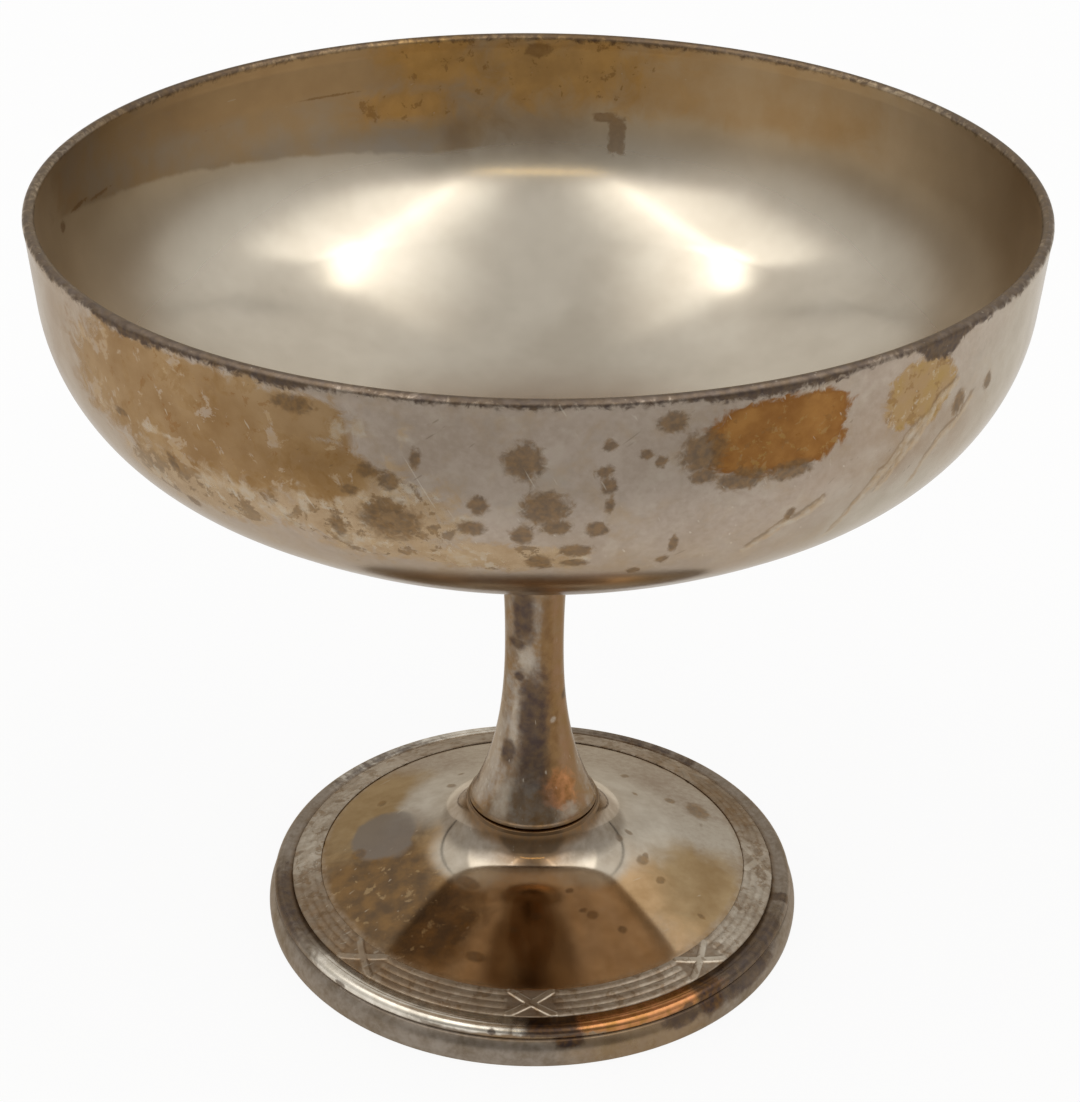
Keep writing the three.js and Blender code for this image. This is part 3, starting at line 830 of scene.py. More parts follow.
def bowl_outside():
    """Pinkish worn plate: amber, orange and straw patches, mottled wear, brown spots, a black lip, film and
    painted shade at the sides and base, and a painted highlight on the lip's top.
    """
    c = settings().colours
    plate = Plate("worn_silver_outside", c.blush, c.blush_shade, 0.2, cloud=9, edge=(0.82, 0.77, 0.70))
    plate.spun(0.2, 0.04)
    pale = plate.number("SUBTRACT", plate.noise(3.2, 6, 0.6), 0.56)
    plate.coat(pale, c.silver_shade, c.blush, size=1.5, ragged=0.1, soft=0.12, roughness=0.22, cover=0.4)
    dim = plate.number("SUBTRACT", plate.noise(4.5, 6, 0.6), 0.57)
    plate.coat(dim, c.tan_shade, c.pewter, size=2, ragged=0.1, soft=0.12, roughness=0.24, cover=0.4)
    # Film and painted shade at the sides.
    plate.coat("sides", c.dull, c.umber, size=7, ragged=0.4, soft=0.7, roughness=0.24, cover=0.6)
    # Yellowish film and painted shade, darker towards the base.
    plate.coat("base", c.tan_shade, c.blush_shade, size=6, ragged=0.5, soft=0.7, roughness=0.22, cover=0.4)
    plate.coat("frost", c.frost, c.frost_shade, size=5, ragged=0.5, soft=0.7, roughness=0.2, cover=0.75)
    plate.coat("mottle", c.tan, c.amber, size=1.8, ragged=0.9, soft=0.25, cover=0.7, mottle=1.5)
    plate.flecks("mottle", 2.2, 0.54, c.umber, c.brown, 0.65)
    plate.flecks("mottle", 2.4, 0.57, c.tan, c.silver_shade, 0.65)
    plate.coat("amber", c.amber, c.amber_shade, size=2.2, ragged=0.6, soft=0.16, cover=0.9, mottle=6)
    plate.flecks("amber", 4, 0.54, c.amber_shade, c.amber, 0.5)
    plate.flecks("amber", 3.4, 0.59, c.blush, c.tan, 0.6)
    plate.flecks("amber", 2.2, 0.62, c.amber_shade, c.rust_shade, 0.5)
    plate.coat(
        "rust", c.rust, c.rust_shade, size=1.8, ragged=0.35, soft=0.07, cover=0.95, mottle=3, outline=0.2
    )
    plate.flecks("rust", 1.2, 0.6, c.straw, c.amber, 0.5)
    plate.flecks("rust", 1.6, 0.6, c.rust_shade, c.umber, 0.5)
    plate.coat("straw", c.straw, c.amber, size=1.6, ragged=0.55, soft=0.1, cover=0.85, mottle=2, outline=0.15)
    plate.flecks("straw", 1.5, 0.57, c.amber_shade, c.umber, 0.55)
    plate.flecks("straw", 1.2, 0.6, c.tan, c.silver_shade, 0.55)
    plate.coat("bare", c.silver_shade, c.tan, size=1.3, ragged=1.6, soft=0.5, roughness=0.25, cover=0.6)
    plate.coat("spots", c.brown, c.umber, size=0.8, ragged=0.7, soft=0.3, roughness=0.36, cover=0.8)
    plate.coat("shadows", c.umber, c.brown, size=1.2, ragged=1.6, soft=0.5, roughness=0.3, cover=0.6)
    plate.coat("cracks", c.silver_shade, c.tan, size=1.2, ragged=1.6, soft=0.5, roughness=0.25, cover=0.55)
    plate.coat("lip", c.brown, c.violet, size=0.9, ragged=0.9, soft=0.25, roughness=0.45, cover=0.9)
    # Wear and painted highlight: lighter along the very top of the lip.
    plate.coat("crest", c.blush, c.dull_shade, size=1.4, ragged=0.9, soft=0.3, roughness=0.3, cover=0.25)
    plate.scratches(0.12, 5, (np.pi / 2, 0, 0.5), 0.74, c.silver, 0.35)
    plate.scratches(0.12, 4, (np.pi / 2, 0, -0.9), 0.74, c.brown, 0.35)
    return plate.done(bump=0.12)


def bowl_inside():
    """Bright plate with lathe lines, a brown film above a tide line, a few dark marks and a painted
    reflection on the bottom.
    """
    c = settings().colours
    edge = (0.95, 0.88, 0.78)
    plate = Plate("bright_silver_inside", c.silver, c.silver_shade, 0.16, cloud=22, grain=9, edge=edge)
    plate.spun(0.1, 0.02)
    plate.haze("wall", 0.34)
    plate.coat("film", c.tan, c.tan_shade, size=9, ragged=0.2, soft=0.7, roughness=0.34, cover=0.6, mottle=8)
    plate.coat(
        "tan", c.tan_shade, c.pewter, size=4, ragged=0.2, soft=0.1, roughness=0.34, cover=0.7, mottle=5
    )
    plate.coat("shade", c.umber, c.umber_shade, size=3, ragged=0.5, soft=0.7, roughness=0.3, cover=0.35)
    plate.coat("bottom", c.dull, c.blush_shade, size=9, ragged=0.3, soft=0.8, roughness=0.2, cover=0.75)
    # Painted reflection: a dark patch on the inside bottom.
    plate.coat("painted_reflection", c.blush_shade, c.dull_shade, size=3, ragged=0.3, soft=0.5, roughness=0.2, cover=0.6)
    plate.coat(
        "blond", c.tan, c.ochre_shade, size=5, ragged=0.4, soft=0.3, roughness=0.34, cover=0.5, mottle=5
    )
    plate.coat(
        "gold", c.ochre, c.ochre_shade, size=3.5, ragged=1, soft=0.6, roughness=0.32, cover=0.75, mottle=3
    )
    plate.flecks("gold", 1.8, 0.6, c.amber_shade, c.umber, 0.6)
    plate.coat("marks", c.umber, c.umber_shade, size=0.8, ragged=0.6, soft=0.2, roughness=0.3, cover=0.6)
    plate.coat("lip", c.brown, c.violet, size=0.9, ragged=0.8, soft=0.3, roughness=0.45, cover=0.8)
    plate.scratches(0.12, 6, (0, 0, 0.7), 0.77, c.silver_shade, 0.4)
    return plate.done(bump=0.02)


# Stem

STEM_COPPER = patches((45, 22, 2.4, 9, 3), (48, 34, 1.2, 8, 3), (200, 25, 3, 8))
STEM_UMBER = patches((27, 24, 1.2, 5.5, 3), (26, 34, 0.7, 6, 3), (170, 22, 2, 6), (-120, 30, 1.5, 8))
STEM_ORANGE = patches((33, 17, 2.2, 1.9), (150, 18, 2, 2))
STEM_DARK = patches(
    (0, 24, 1.6, 6.4, 4), (8, 21.5, 0.6, 2), (-22, 37.5, 1.2, 3.4, 3), (-35, 33.9, 1.1, 0.6),
    (-30, 30, 0.7, 0.5), (-40, 21, 0.9, 1.4), (150, 30, 2, 7),
) + scattered(5, 14, (70, 290), (15, 46), (0.5, 1.8))
STEM_BRIGHT = patches(
    (-16, 32, 0.9, 1.9), (35, 24.8, 0.35, 0.35), (-35, 15.9, 1.2, 2), (-34, 24.5, 0.5, 3.8),
    (-72, 20, 1.4, 6), (40, 14.8, 1.2, 0.7),
)


def stem_outline(size):
    """Up the outside and down the bore: two cubic curves that meet, upright, at the waist.

    The handles of each curve are shares of its width and height.
    """
    base_out, base_up, waist_down = 0.33, 0.26, 0.46
    waist_up, top_out, top_down = 0.45, 0.2, 0.22
    spread_out = size.base_radius - size.waist_radius
    flare = size.top_radius - size.waist_radius
    waist = size.base_height + size.waist_height
    rise = size.top_height - waist
    trumpet = cubic(
        (size.base_radius, size.base_height),
        (size.waist_radius + base_out * spread_out, size.base_height + base_up * size.waist_height),
        (size.waist_radius, waist - waist_down * size.waist_height),
        (size.waist_radius, waist),
        steps=70,
    )
    bell = cubic(
        (size.waist_radius, waist),
        (size.waist_radius, waist + waist_up * rise),
        (size.waist_radius + top_out * flare, size.top_height - top_down * rise),
        (size.top_radius, size.top_height),
        steps=50,
    )
    outside = joined(trumpet, bell)
    bore = outside[::-3] - (size.wall, 0)
    corner = (size.base_radius - size.edge, size.base_height + size.edge)
    rounded = arc(corner, size.edge, -np.pi / 2, 0, steps=6)
    return joined(rounded, outside[outside[:, 1] > corner[1]], bore)


class DESSERT_OT_stem(bpy.types.Operator):
    """Makes the trumpet stem, with copper showing on its right side"""

    bl_idname = "dessert_bowl.stem"
    bl_label = "Stem"

    def execute(self, context):
        size = settings().stem
        grid = revolved(stem_outline(size), STEM_COLUMNS)
        around, reach, height = places(grid)
        above_base = height - size.base_height
        seam = size.base_height / MM - 0.5
        fields = stains(
            around, reach, height, copper=STEM_COPPER, umber=STEM_UMBER, orange=STEM_ORANGE, dark=STEM_DARK,
            bright=STEM_BRIGHT,
        )
        # Tarnish and painted shade at the stem's lower end, by the seam.
        fields["seam"] = tide(around, size.base_height - above_base, [(0, seam)], 1)
        piece = wrapped("trumpet_stem", grid, True, fields)
        settle(piece, "stem", "stem_plate", stem_finish())
        return {"FINISHED"}


def stem_finish():
    """Mottled plate, copper where it is worn through, and tarnish with painted shade towards the seam."""
    c = settings().colours
    plate = Plate("mottled_stem_plate", c.pewter, c.umber, 0.18, cloud=3)
    plate.spun(0.2, 0.05)
    streak = plate.noise(1.1, 5, source=plate.stretched(plate.object_place, (1, 1, 0.18)))
    streak = plate.number("SUBTRACT", streak, 0.52)
    plate.coat(streak, c.dull_shade, c.umber_shade, size=2, ragged=0.05, soft=0.12, roughness=0.22, cover=0.6)
    plate.coat("copper", c.copper_shade, c.umber, size=2, ragged=0.6, soft=0.3, roughness=0.22, cover=0.85)
    plate.coat("umber", c.umber, c.umber_shade, size=1.6, ragged=0.6, soft=0.3, roughness=0.2, cover=0.85)
    plate.coat("orange", c.copper, c.rust_shade, size=1.4, ragged=0.7, soft=0.3, roughness=0.24, cover=0.6)
    plate.coat("bright", c.silver_shade, c.dull, size=1.2, ragged=0.9, soft=0.5, roughness=0.18, cover=0.55)
    plate.coat("dark", c.brown, c.violet, size=1.6, ragged=0.5, soft=0.4, roughness=0.2, cover=0.92)
    # Tarnish and painted shade towards the seam.
    plate.coat("seam", c.umber, c.brown, size=1.2, ragged=0.4, soft=0.5, roughness=0.4, cover=0.85)
    plate.scratches(0.12, 4, (np.pi / 2, 0, 0.1), 0.73, c.silver, 0.4)
    return plate.done()


# Foot

FOOT_GOLD = patches((-56, 17.5, 7.5, 7.5, 5), (66, 17.8, 6.6, 5.8, 4), (-106, 20, 10, 4, 3))
FOOT_HONEY = patches((0, 16.6, 16, 7.5, 6))
# Painted reflection: the dim front of the light tent as the neck mirrors it, a dark band just below the stem.
FOOT_FUNNEL_REFLECTION = patches((0, 7.2, 7, 0.6, 3), (0, 8, 3.4, 0.9, 2.5))
FOOT_BARE = patches(
    (-49, 10.2, 5, 2, 2.5), (49, 10.2, 5, 2, 2.5), (118, 12, 11, 4.5, 2.5), (-138, 12, 7.5, 4.5, 2.5),
)
FOOT_STEEL = patches((-93, 16.4, 4.4, 3.4, 2.5))
FOOT_UMBER = patches((-60, 18, 9, 6.5, 4), (-34, 18.2, 4, 4.6, 5))
FOOT_MARKS = patches(
    (-85, 19, 0.9, 0.8), (68, 12.8, 0.8, 0.6), (62, 15.5, 0.6, 0.5), (112, 20, 1.6, 1.2),
    (-36, 11.7, 1.6, 0.6), (-17, 19.8, 1.1, 0.6), (25, 15, 0.6, 0.5), (2, 14.3, 0.6, 0.5),
) + scattered(3, 26, (-180, 180), (9, 22), (0.2, 0.7))
# Painted shade round the neck, inside about 9 to 10 mm: it dims the bright floor that the neck's steep sides
# mirror.
COLLAR_SHADE_LINE = [(0, -9), (45, -9.2), (90, -10), (180, -10), (270, -10), (315, -9.2)]


def foot_outline(size):
    """Up the edge, in over the seat and cone, up the sweep and neck, down the hole and back below.

    The sweep is a cubic curve whose handles lie on the cone and on the neck, towards the corner
    where the two lines would meet. The underside is the top moved in by the metal's thickness.
    """
    fall = np.tan(size.slope)
    lean = np.tan(size.neck_lean)
    apex = size.border_height + fall * size.border_radius
    corner_radius = (size.neck_radius + lean * (size.neck_height - apex)) / (1 - lean * fall)
    corner = np.array([corner_radius, apex - fall * corner_radius])
    start = np.array([size.sweep_radius, apex - fall * size.sweep_radius])
    end = np.array([size.neck_radius, size.neck_height])
    toward = start + size.cone_handle * (corner - start)
    away = end + size.neck_handle * (corner - end)
    sweep = cubic(start, toward, away, end, steps=60)
    course = np.gradient(sweep, axis=0)
    course /= np.linalg.norm(course, axis=1, keepdims=True)
    inward = np.stack([-course[:, 1], course[:, 0]], axis=-1)
    seat_fall = np.tan(size.seat_slope)
    bend_radius = size.edge_radius - size.edge_bend
    bend_height = size.border_height + seat_fall * (size.border_radius - bend_radius)
    bend = (bend_radius, bend_height - size.edge_bend / np.cos(size.seat_slope))
    knee = np.array([size.border_radius, size.border_height])
    tilt = (size.slope + size.seat_slope) / 2
    stretch = np.cos((size.seat_slope - size.slope) / 2)
    knee_normal = np.array([np.sin(tilt), np.cos(tilt)]) / stretch

    def face(depth, top):
        edge = arc(bend, size.edge_bend - depth, 0, np.pi / 2 - size.seat_slope, steps=8)
        turned = knee - depth * knee_normal
        rise = sweep + depth * inward
        return joined(
            (size.edge_radius - depth, size.edge_height),
            edge,
            straight(edge[-1], turned, steps=6),
            straight(turned, rise[0], steps=36),
            rise[rise[:, 1] < top],
        )

    ceiling = size.neck_height - size.metal
    brow = (size.neck_radius - size.neck_edge, size.neck_height - size.neck_edge)
    under = face(size.metal, ceiling)
    return joined(
        face(0, brow[1]),
        arc(brow, size.neck_edge, size.neck_lean, np.pi / 2, steps=6),
        straight((brow[0], size.neck_height), (size.hole_radius, size.neck_height), steps=6),
        straight((size.hole_radius, ceiling), (under[-1, 0], ceiling), steps=6),
        under[::-1],
    )


class DESSERT_OT_foot(bpy.types.Operator):
    """Makes the pressed foot, golden in front and greyer behind"""

    bl_idname = "dessert_bowl.foot"
    bl_label = "Foot"

    def execute(self, context):
        size = settings().foot
        grid = revolved(foot_outline(size), FOOT_COLUMNS)
        around, radius, height = places(grid)
        widest = 18 * MM
        neck_line = size.neck_height / MM - 1.5
        gutter_shade_line = size.border_radius / MM - 0.5
        fields = stains(
            around, np.minimum(radius, widest), radius, gold=FOOT_GOLD, honey=FOOT_HONEY, bare=FOOT_BARE,
            funnel=FOOT_FUNNEL_REFLECTION, steel=FOOT_STEEL, umber=FOOT_UMBER, marks=FOOT_MARKS,
        )
        # Painted shade round the neck.
        fields["collar_shade"] = tide(around, -radius, COLLAR_SHADE_LINE, 0.7)
        # Grime and painted shade at the top of the neck, under the stem.
        fields["seam"] = tide(around, height, [(0, neck_line)], 1.2)
        # Grime and painted shade in the crevice just inside the border.
        fields["gutter_shade"] = tide(around, radius, [(0, gutter_shade_line)], 0.8)
        piece = wrapped("pressed_foot", grid, True, fields)
        settle(piece, "foot_plate", "foot_plate", foot_finish())
        return {"FINISHED"}


def foot_finish():
    """Polished plate under a golden film, with a bluish patch, small marks, grime and painted shade at the
    seams, painted shade round the neck and a painted reflection on it.
    """
    c = settings().colours
    plate = Plate("golden_foot_plate", c.silver_shade, c.blush_shade, 0.08, cloud=9)
    plate.spun(0.1, 0.03)
    plate.coat("gold", c.gold, c.gold_shade, size=5, ragged=0.3, soft=0.25, roughness=0.08, cover=0.9)
    plate.coat("honey", c.honey, c.honey_shade, size=4, ragged=0.3, soft=0.25, roughness=0.08, cover=0.9)
    plate.coat("umber", c.umber, c.brown, size=3, ragged=0.4, soft=0.4, roughness=0.1, cover=1)
    plate.flecks("umber", 1.5, 0.62, c.gold, c.tan, 0.55)
    plate.coat("steel", c.steel, c.steel, size=3, ragged=0.25, soft=0.1, roughness=0.14, cover=0.85)
    plate.coat("bare", c.silver, c.silver_shade, size=3, ragged=0.3, soft=0.4, roughness=0.1, cover=0.85)
    plate.coat("marks", c.brown, c.amber_shade, size=1, ragged=0.5, soft=0.3, roughness=0.25, cover=0.6)
    # Painted shade: darkens the neck so that its mirrored floor is no lighter than the plate beyond.
    plate.coat("collar_shade", c.pewter, c.dull_shade, size=2, ragged=0.2, soft=0.8, roughness=0.1, cover=0.75)
    # Painted reflection of the tent's dim front on the neck.
    plate.coat("funnel", c.umber, c.umber_shade, size=1.5, ragged=0.3, soft=0.5, roughness=0.1, cover=0.75)
    # Grime and painted shade in the seam under the stem.
    plate.coat("seam", c.umber_shade, c.brown, size=1, ragged=0.3, soft=0.6, roughness=0.2, cover=0.8)
    # Grime and painted shade where the plate meets the border.
    plate.coat("gutter_shade", c.dull, c.umber, size=1.5, ragged=0.6, soft=0.4, roughness=0.3, cover=0.4)
    plate.scratches(0.1, 4, (0, 0, 0.9), 0.75, c.silver, 0.4)
    return plate.done(bump=0.05)


# Border

BORDER_PALE = patches((72, 24.5, 11, 1.8, 3), (48, 24.6, 6, 1.8), (-100, 24.6, 10, 1.5))
BORDER_DIM = patches((-54, 24.8, 12, 2.4, 3), (120, 24.6, 10, 2))


def border_grid(foot, size, columns, rows):
    """The strip as a grid: it lies on the seat, with round edges, and reeds and ribbons on its face.

    Across the strip a reed is the size of a sine. At a tie the reeds sink, and two ribbons cross
    them along the diagonals, each a band with soft sides and a fine line along each of them, one a
    little above the other. Wear flattens the relief by a power of the cosine of half the angle from
    where it is crispest.
    """
    inner = foot.border_radius
    around = angles(columns)
    across = np.linspace(0, 1, rows)[:, None]
    radius = inner + size.width * across
    pitch = 2 * np.pi / size.ties
    along = ((around + pitch / 2) % pitch - pitch / 2) * (inner + size.width / 2)
    fullness = 0.8
    reed = size.reed_height * np.abs(np.sin(np.pi * size.reeds * across)) ** fullness
    half = size.tie_length / 2
    sunk, fade = half * 1.1, 0.25 * half
    near = smooth(np.clip((sunk - np.abs(along)) / fade, 0, 1))
    face = reed * (1 - (1 - size.pinch) * near)
    slant = np.hypot(size.width, size.tie_length) / size.tie_length
    edge = 0.16 * MM
    line_place, line_half, line_depth = 0.3 * size.ribbon_width, 0.08 * MM, 0.25

    def ribbon(hand):
        offset = np.abs((across - 0.5) * size.width - hand * along * size.width / size.tie_length)
        side = np.clip((size.ribbon_width / 2 * slant - offset) / edge, 0, 1)
        end = np.clip((half - np.abs(along)) / edge, 0, 1)
        band = smooth(side) * end
        groove = line_depth * np.exp(-((offset - line_place) / line_half) ** 2)
        return band, groove * band

    low, low_groove = ribbon(-1)
    high, high_groove = ribbon(1)
    crest = size.reed_height + size.ribbon_height
    face = face + (crest - face) * low - size.ribbon_height * low_groove
    face = face + (crest + size.overlap - face) * high - size.ribbon_height * high_groove
    under = foot.border_height + (inner - radius) * np.tan(foot.seat_slope) + size.lift
    from_edge = size.width * np.minimum(across, 1 - across)
    short = np.clip(size.edge - from_edge, 0, size.edge)
    top = foot.border_height + size.step + (inner - radius) * np.tan(size.fall)
    skin = top - size.edge + np.sqrt(size.edge**2 - short**2)
    radius = np.broadcast_to(radius, face.shape)
    wear = size.worn + (1 - size.worn) * np.cos((around - size.crisp) / 2) ** 4
    skin_height = skin + face * wear
    under_height = np.broadcast_to(under, face.shape)
    radii = np.concatenate([radius[:1], radius[-1:], radius[::-1]])
    heights = np.concatenate([under_height[:1], under_height[-1:], skin_height[::-1]])
    crown = 1 - (1 - face / (crest + size.overlap)) * wear
    relief = np.concatenate([np.zeros((2, columns)), crown[::-1]])
    ties = np.concatenate([np.zeros((2, columns)), np.broadcast_to(near, face.shape)[::-1]])
    return spread(radii, around, heights), relief, ties


class DESSERT_OT_border(bpy.types.Operator):
    """Makes the border of reeds tied by crossed ribbons"""

    bl_idname = "dessert_bowl.border"
    bl_label = "Border"

    def execute(self, context):
        foot = settings().foot
        grid, relief, ties = border_grid(foot, settings().border, BORDER_COLUMNS, BORDER_ROWS)
        around, radius, _ = places(grid)
        fields = stains(around, foot.border_radius, radius, pale=BORDER_PALE, dim=BORDER_DIM)
        fields |= {"relief": relief, "ties": ties}
        piece = wrapped("reed_and_ribbon", grid, True, fields)
        settle(piece, "reed_border", "border_plate", border_finish())
        return {"FINISHED"}


def border_finish():
    """Dull plate with faint reeds, pale and brown clouds, and grime in the pits beside the ribbons."""
    c = settings().colours
    plate = Plate("dull_border_plate", c.silver_shade, c.dull, 0.34, cloud=3)
    plate.coat("pale", c.silver, c.silver_shade, size=2, ragged=0.8, soft=0.6, roughness=0.3, cover=0.75)
    plate.coat("dim", c.umber, c.dull_shade, size=2, ragged=0.8, soft=0.6, roughness=0.34, cover=0.85)
    cloud = plate.number("SUBTRACT", plate.noise(3, 6), 0.55)
    plate.coat(cloud, c.umber, c.brown, size=1.2, ragged=0.2, soft=0.12, roughness=0.36, cover=0.4)
    hollow = plate.number("SUBTRACT", 0.35, plate.field("relief"))
    plate.coat(
        hollow, c.dull_shade, c.umber_shade, size=1.2, ragged=0.7, soft=0.35, roughness=0.45, cover=0.35
    )
    crown = plate.number("SUBTRACT", plate.field("relief"), 0.62)
    plate.coat(crown, c.silver_shade, c.dull, size=1.2, ragged=0.6, soft=0.3, roughness=0.34, cover=0.25)
    plate.flecks("relief", 1.6, 0.56, c.umber, c.brown, 0.5)
    pit = plate.number("MULTIPLY", plate.field("ties"), hollow)
    plate.coat(pit, c.brown, c.umber_shade, size=1, ragged=0.35, soft=0.2, roughness=0.5, cover=0.5)
    plate.scratches(0.12, 3, (0, 0, 1.2), 0.7, c.silver_shade, 0.4)
    return plate.done(bump=0.15)


# Edge moulding

# Wear and painted highlight: the bead lighter where its highlight shows.
RIM_WORN_HIGHLIGHT = patches((-38, 4, 7.5, 0.8, 4), (-15, 4.1, 5, 0.5, 3), (-2, 4, 0.7, 0.5), (-150, 4, 12, 0.6))
RIM_COPPER = patches((27, 4, 8, 0.75, 4), (13, 4.1, 2.2, 0.5))
RIM_VIOLET = patches(
    (57, 3.9, 8, 0.8, 3), (52, 2.6, 6, 1, 2), (40.6, 3.1, 2, 1.6, 3), (8, 3.1, 1.6, 0.9, 3),
    (3, 4, 2.6, 0.6, 3), (33, 2.6, 2.4, 0.9), (-75, 3.8, 7, 0.7, 3), (150, 3.5, 8, 0.8, 3),
    (-140, 3.7, 9, 0.6, 3),
) + scattered(9, 14, (-180, 180), (2.6, 4.1), (0.3, 0.9))
RIM_CHIPS = patches((8, 2.9, 1.4, 0.6, 3), (40.8, 3.2, 1.6, 1.4, 4), (5, 4.1, 2.6, 0.4, 3))
RIM_TAN = patches((25, 2, 8, 2.4, 4), (0, 3.3, 6, 0.4, 3), (120, 2.2, 9, 1.5), (-110, 2.4, 7, 1.3))


def rim_outline(size):
    """From the table up the band, over the bead, into the groove and down the inner wall.

    The band is two quadratic curves that meet, upright, where it bulges most.
    """
    inner = size.radius - size.width
    centre = (size.radius - size.inset, size.top - size.bead)
    middle = (size.bulge + size.band) / 2

    def swell(start, between, end, steps):
        first = np.add(start, 2 / 3 * np.subtract(between, start))
        second = np.add(end, 2 / 3 * np.subtract(between, end))
        return cubic(start, first, second, end, steps)

    foot = (size.radius - size.undercut, 0)
    bulge = (size.radius, size.bulge)
    low = swell(foot, (size.radius, size.bulge / 2), bulge, steps=12)
    high = swell(bulge, (size.radius, middle), (size.radius - size.lean, size.band), steps=18)
    toe = (foot[0] - size.edge, size.edge)
    heel = (inner + size.edge, size.edge)
    return joined(
        arc(heel, size.edge, np.pi, 1.5 * np.pi, steps=5),
        arc(toe, size.edge, -np.pi / 2, -0.35, steps=5),
        low[low[:, 1] > size.edge],
        high,
        arc(centre, size.bead, size.bead_start, size.bead_end, steps=36),
        straight((inner, size.groove), (inner, 2 * size.edge), steps=4),
    )


class DESSERT_OT_rim(bpy.types.Operator):
    """Makes the edge moulding of the foot, with bare copper on its bead"""

    bl_idname = "dessert_bowl.rim"
    bl_label = "Edge moulding"

    def execute(self, context):
        size = settings().rim
        grid = revolved(rim_outline(size), RIM_COLUMNS)
        around, radius, height = places(grid)
        fields = stains(
            around, size.radius, height, bright=RIM_WORN_HIGHLIGHT, copper=RIM_COPPER, violet=RIM_VIOLET, tan=RIM_TAN,
            chips=RIM_CHIPS,
        )
        groove_edge = (size.radius - size.width) / MM + 0.5
        fields["groove"] = tide(around, -radius, [(0, -groove_edge)], 0.3)
        neck, line_half, outer = size.band + 0.1 * MM, 0.18 * MM, size.radius - 0.9 * MM
        line = np.clip(1 - np.abs(height - neck) / line_half, -1, 1)
        fields["line"] = np.where(radius > outer, line, -1)
        piece = wrapped("edge_moulding", grid, True, fields)
        settle(piece, "foot_rim", "rim_plate", rim_finish())
        return {"FINISHED"}


def rim_finish():
    """Dull plate with tan and nearly black tarnish, a bead worn bright with a painted highlight and coppery,
    and a grimy groove.
    """
    c = settings().colours
    plate = Plate("worn_rim_plate", c.pewter, c.dull_shade, 0.32, cloud=3)
    plate.spun(0.15, 0.05)
    plate.coat("tan", c.gold_shade, c.umber, size=3, ragged=0.6, soft=0.5, roughness=0.24, cover=0.6)
    # Wear and painted highlight on the bead.
    plate.coat("bright", c.polish_highlight, c.silver, size=1.6, ragged=0.6, soft=0.35, roughness=0.24, cover=1)
    plate.coat("copper", c.copper, c.rust, size=1.4, ragged=0.7, soft=0.2, roughness=0.2, cover=0.9)
    plate.coat("violet", c.violet, c.brown, size=1.4, ragged=0.6, soft=0.3, roughness=0.26, cover=0.8)
    plate.coat("chips", c.umber_shade, c.violet, size=1, ragged=0.3, soft=0.2, roughness=0.3, cover=0.9)
    plate.coat("line", c.brown, c.violet, size=1.5, ragged=0.5, soft=0.5, roughness=0.45, cover=0.3)
    plate.coat("groove", c.umber, c.brown, size=1.2, ragged=0.7, soft=0.5, roughness=0.45, cover=0.35)
    return plate.done(bump=0.1)


# Fastenings


def stud_grid(size, columns):
    """A rod whose radius follows a thread near its ends.

    The thread is a triangle wave of the height over the pitch less the share of a turn, and it fades
    in over the first pitch. The rod ends in small cones.
    """
    radius = STUD_HIGH.x
    low, high = STUD_LOW.z, STUD_HIGH.z
    steps, point = 12, 1.2
    fine = size.pitch / steps
    heights = np.concatenate([
        np.arange(low, low + size.threaded_low, fine),
        np.linspace(low + size.threaded_low, high - size.threaded_high, steps),
        np.arange(high - size.threaded_high + fine, high, fine),
        [high],
    ])[:, None]
    around = angles(columns)
    wave = np.abs(2 * ((heights / size.pitch - around / (2 * np.pi)) % 1) - 1)
    below = np.clip((low + size.threaded_low - heights) / size.pitch, 0, 1)
    beyond = np.clip((heights - high + size.threaded_high) / size.pitch, 0, 1)
    body = radius - size.thread_depth * wave * np.maximum(below, beyond)
    taper = radius - size.thread_depth * point + np.minimum(heights - low, high - heights)
    points = spread(np.minimum(body, taper), around, heights)
    bottom = np.broadcast_to([0, 0, low], (1, columns, 3))
    top = np.broadcast_to([0, 0, high], (1, columns, 3))
    return np.concatenate([bottom, points, top])


def nut_grid(size, columns):
    """A hexagon nut: half the flats over the cosine of the angle from the nearest flat's middle.

    A cone turns its corners off at both ends, and the hole runs through the middle.
    """
    end_share, inset = 0.98, 0.3 * MM
    half = size.flats / 2
    corner = half / np.cos(np.pi / 6)
    around = angles(columns)
    off_flat = (around + np.pi / 3) % (np.pi / 3) - np.pi / 6
    hexagon = half / np.cos(off_flat)
    turned = (corner - half) * np.tan(size.chamfer)
    low, high = NUT_LOW.z, NUT_HIGH.z
    ends = np.linspace(0, 1, 9) * turned
    heights = np.concatenate([low + ends, [(low + high) / 2], high - ends[::-1]])[:, None]
    nearest_end = np.minimum(heights - low, high - heights)
    cone = half * end_share + nearest_end / np.tan(size.chamfer)
    side = np.minimum(hexagon, cone)
    hole = np.full((1, columns), size.hole_radius)
    countersink = hole + inset
    radii = np.concatenate([hole, countersink, side, countersink, hole])
    levels = np.concatenate([[[low + inset]], [[low]], heights, [[high]], [[high - inset]]])
    return spread(radii, around, levels)


def washer_outline(size):
    """A flat ring with rounded outer edges."""
    low, high = WASHER_LOW.z, WASHER_HIGH.z
    outer = WASHER_HIGH.x - size.edge
    return joined(
        (size.hole_radius, low),
        arc((outer, low + size.edge), size.edge, -np.pi / 2, 0, steps=5),
        arc((outer, high - size.edge), size.edge, 0, np.pi / 2, steps=5),
        (size.hole_radius, high),
    )


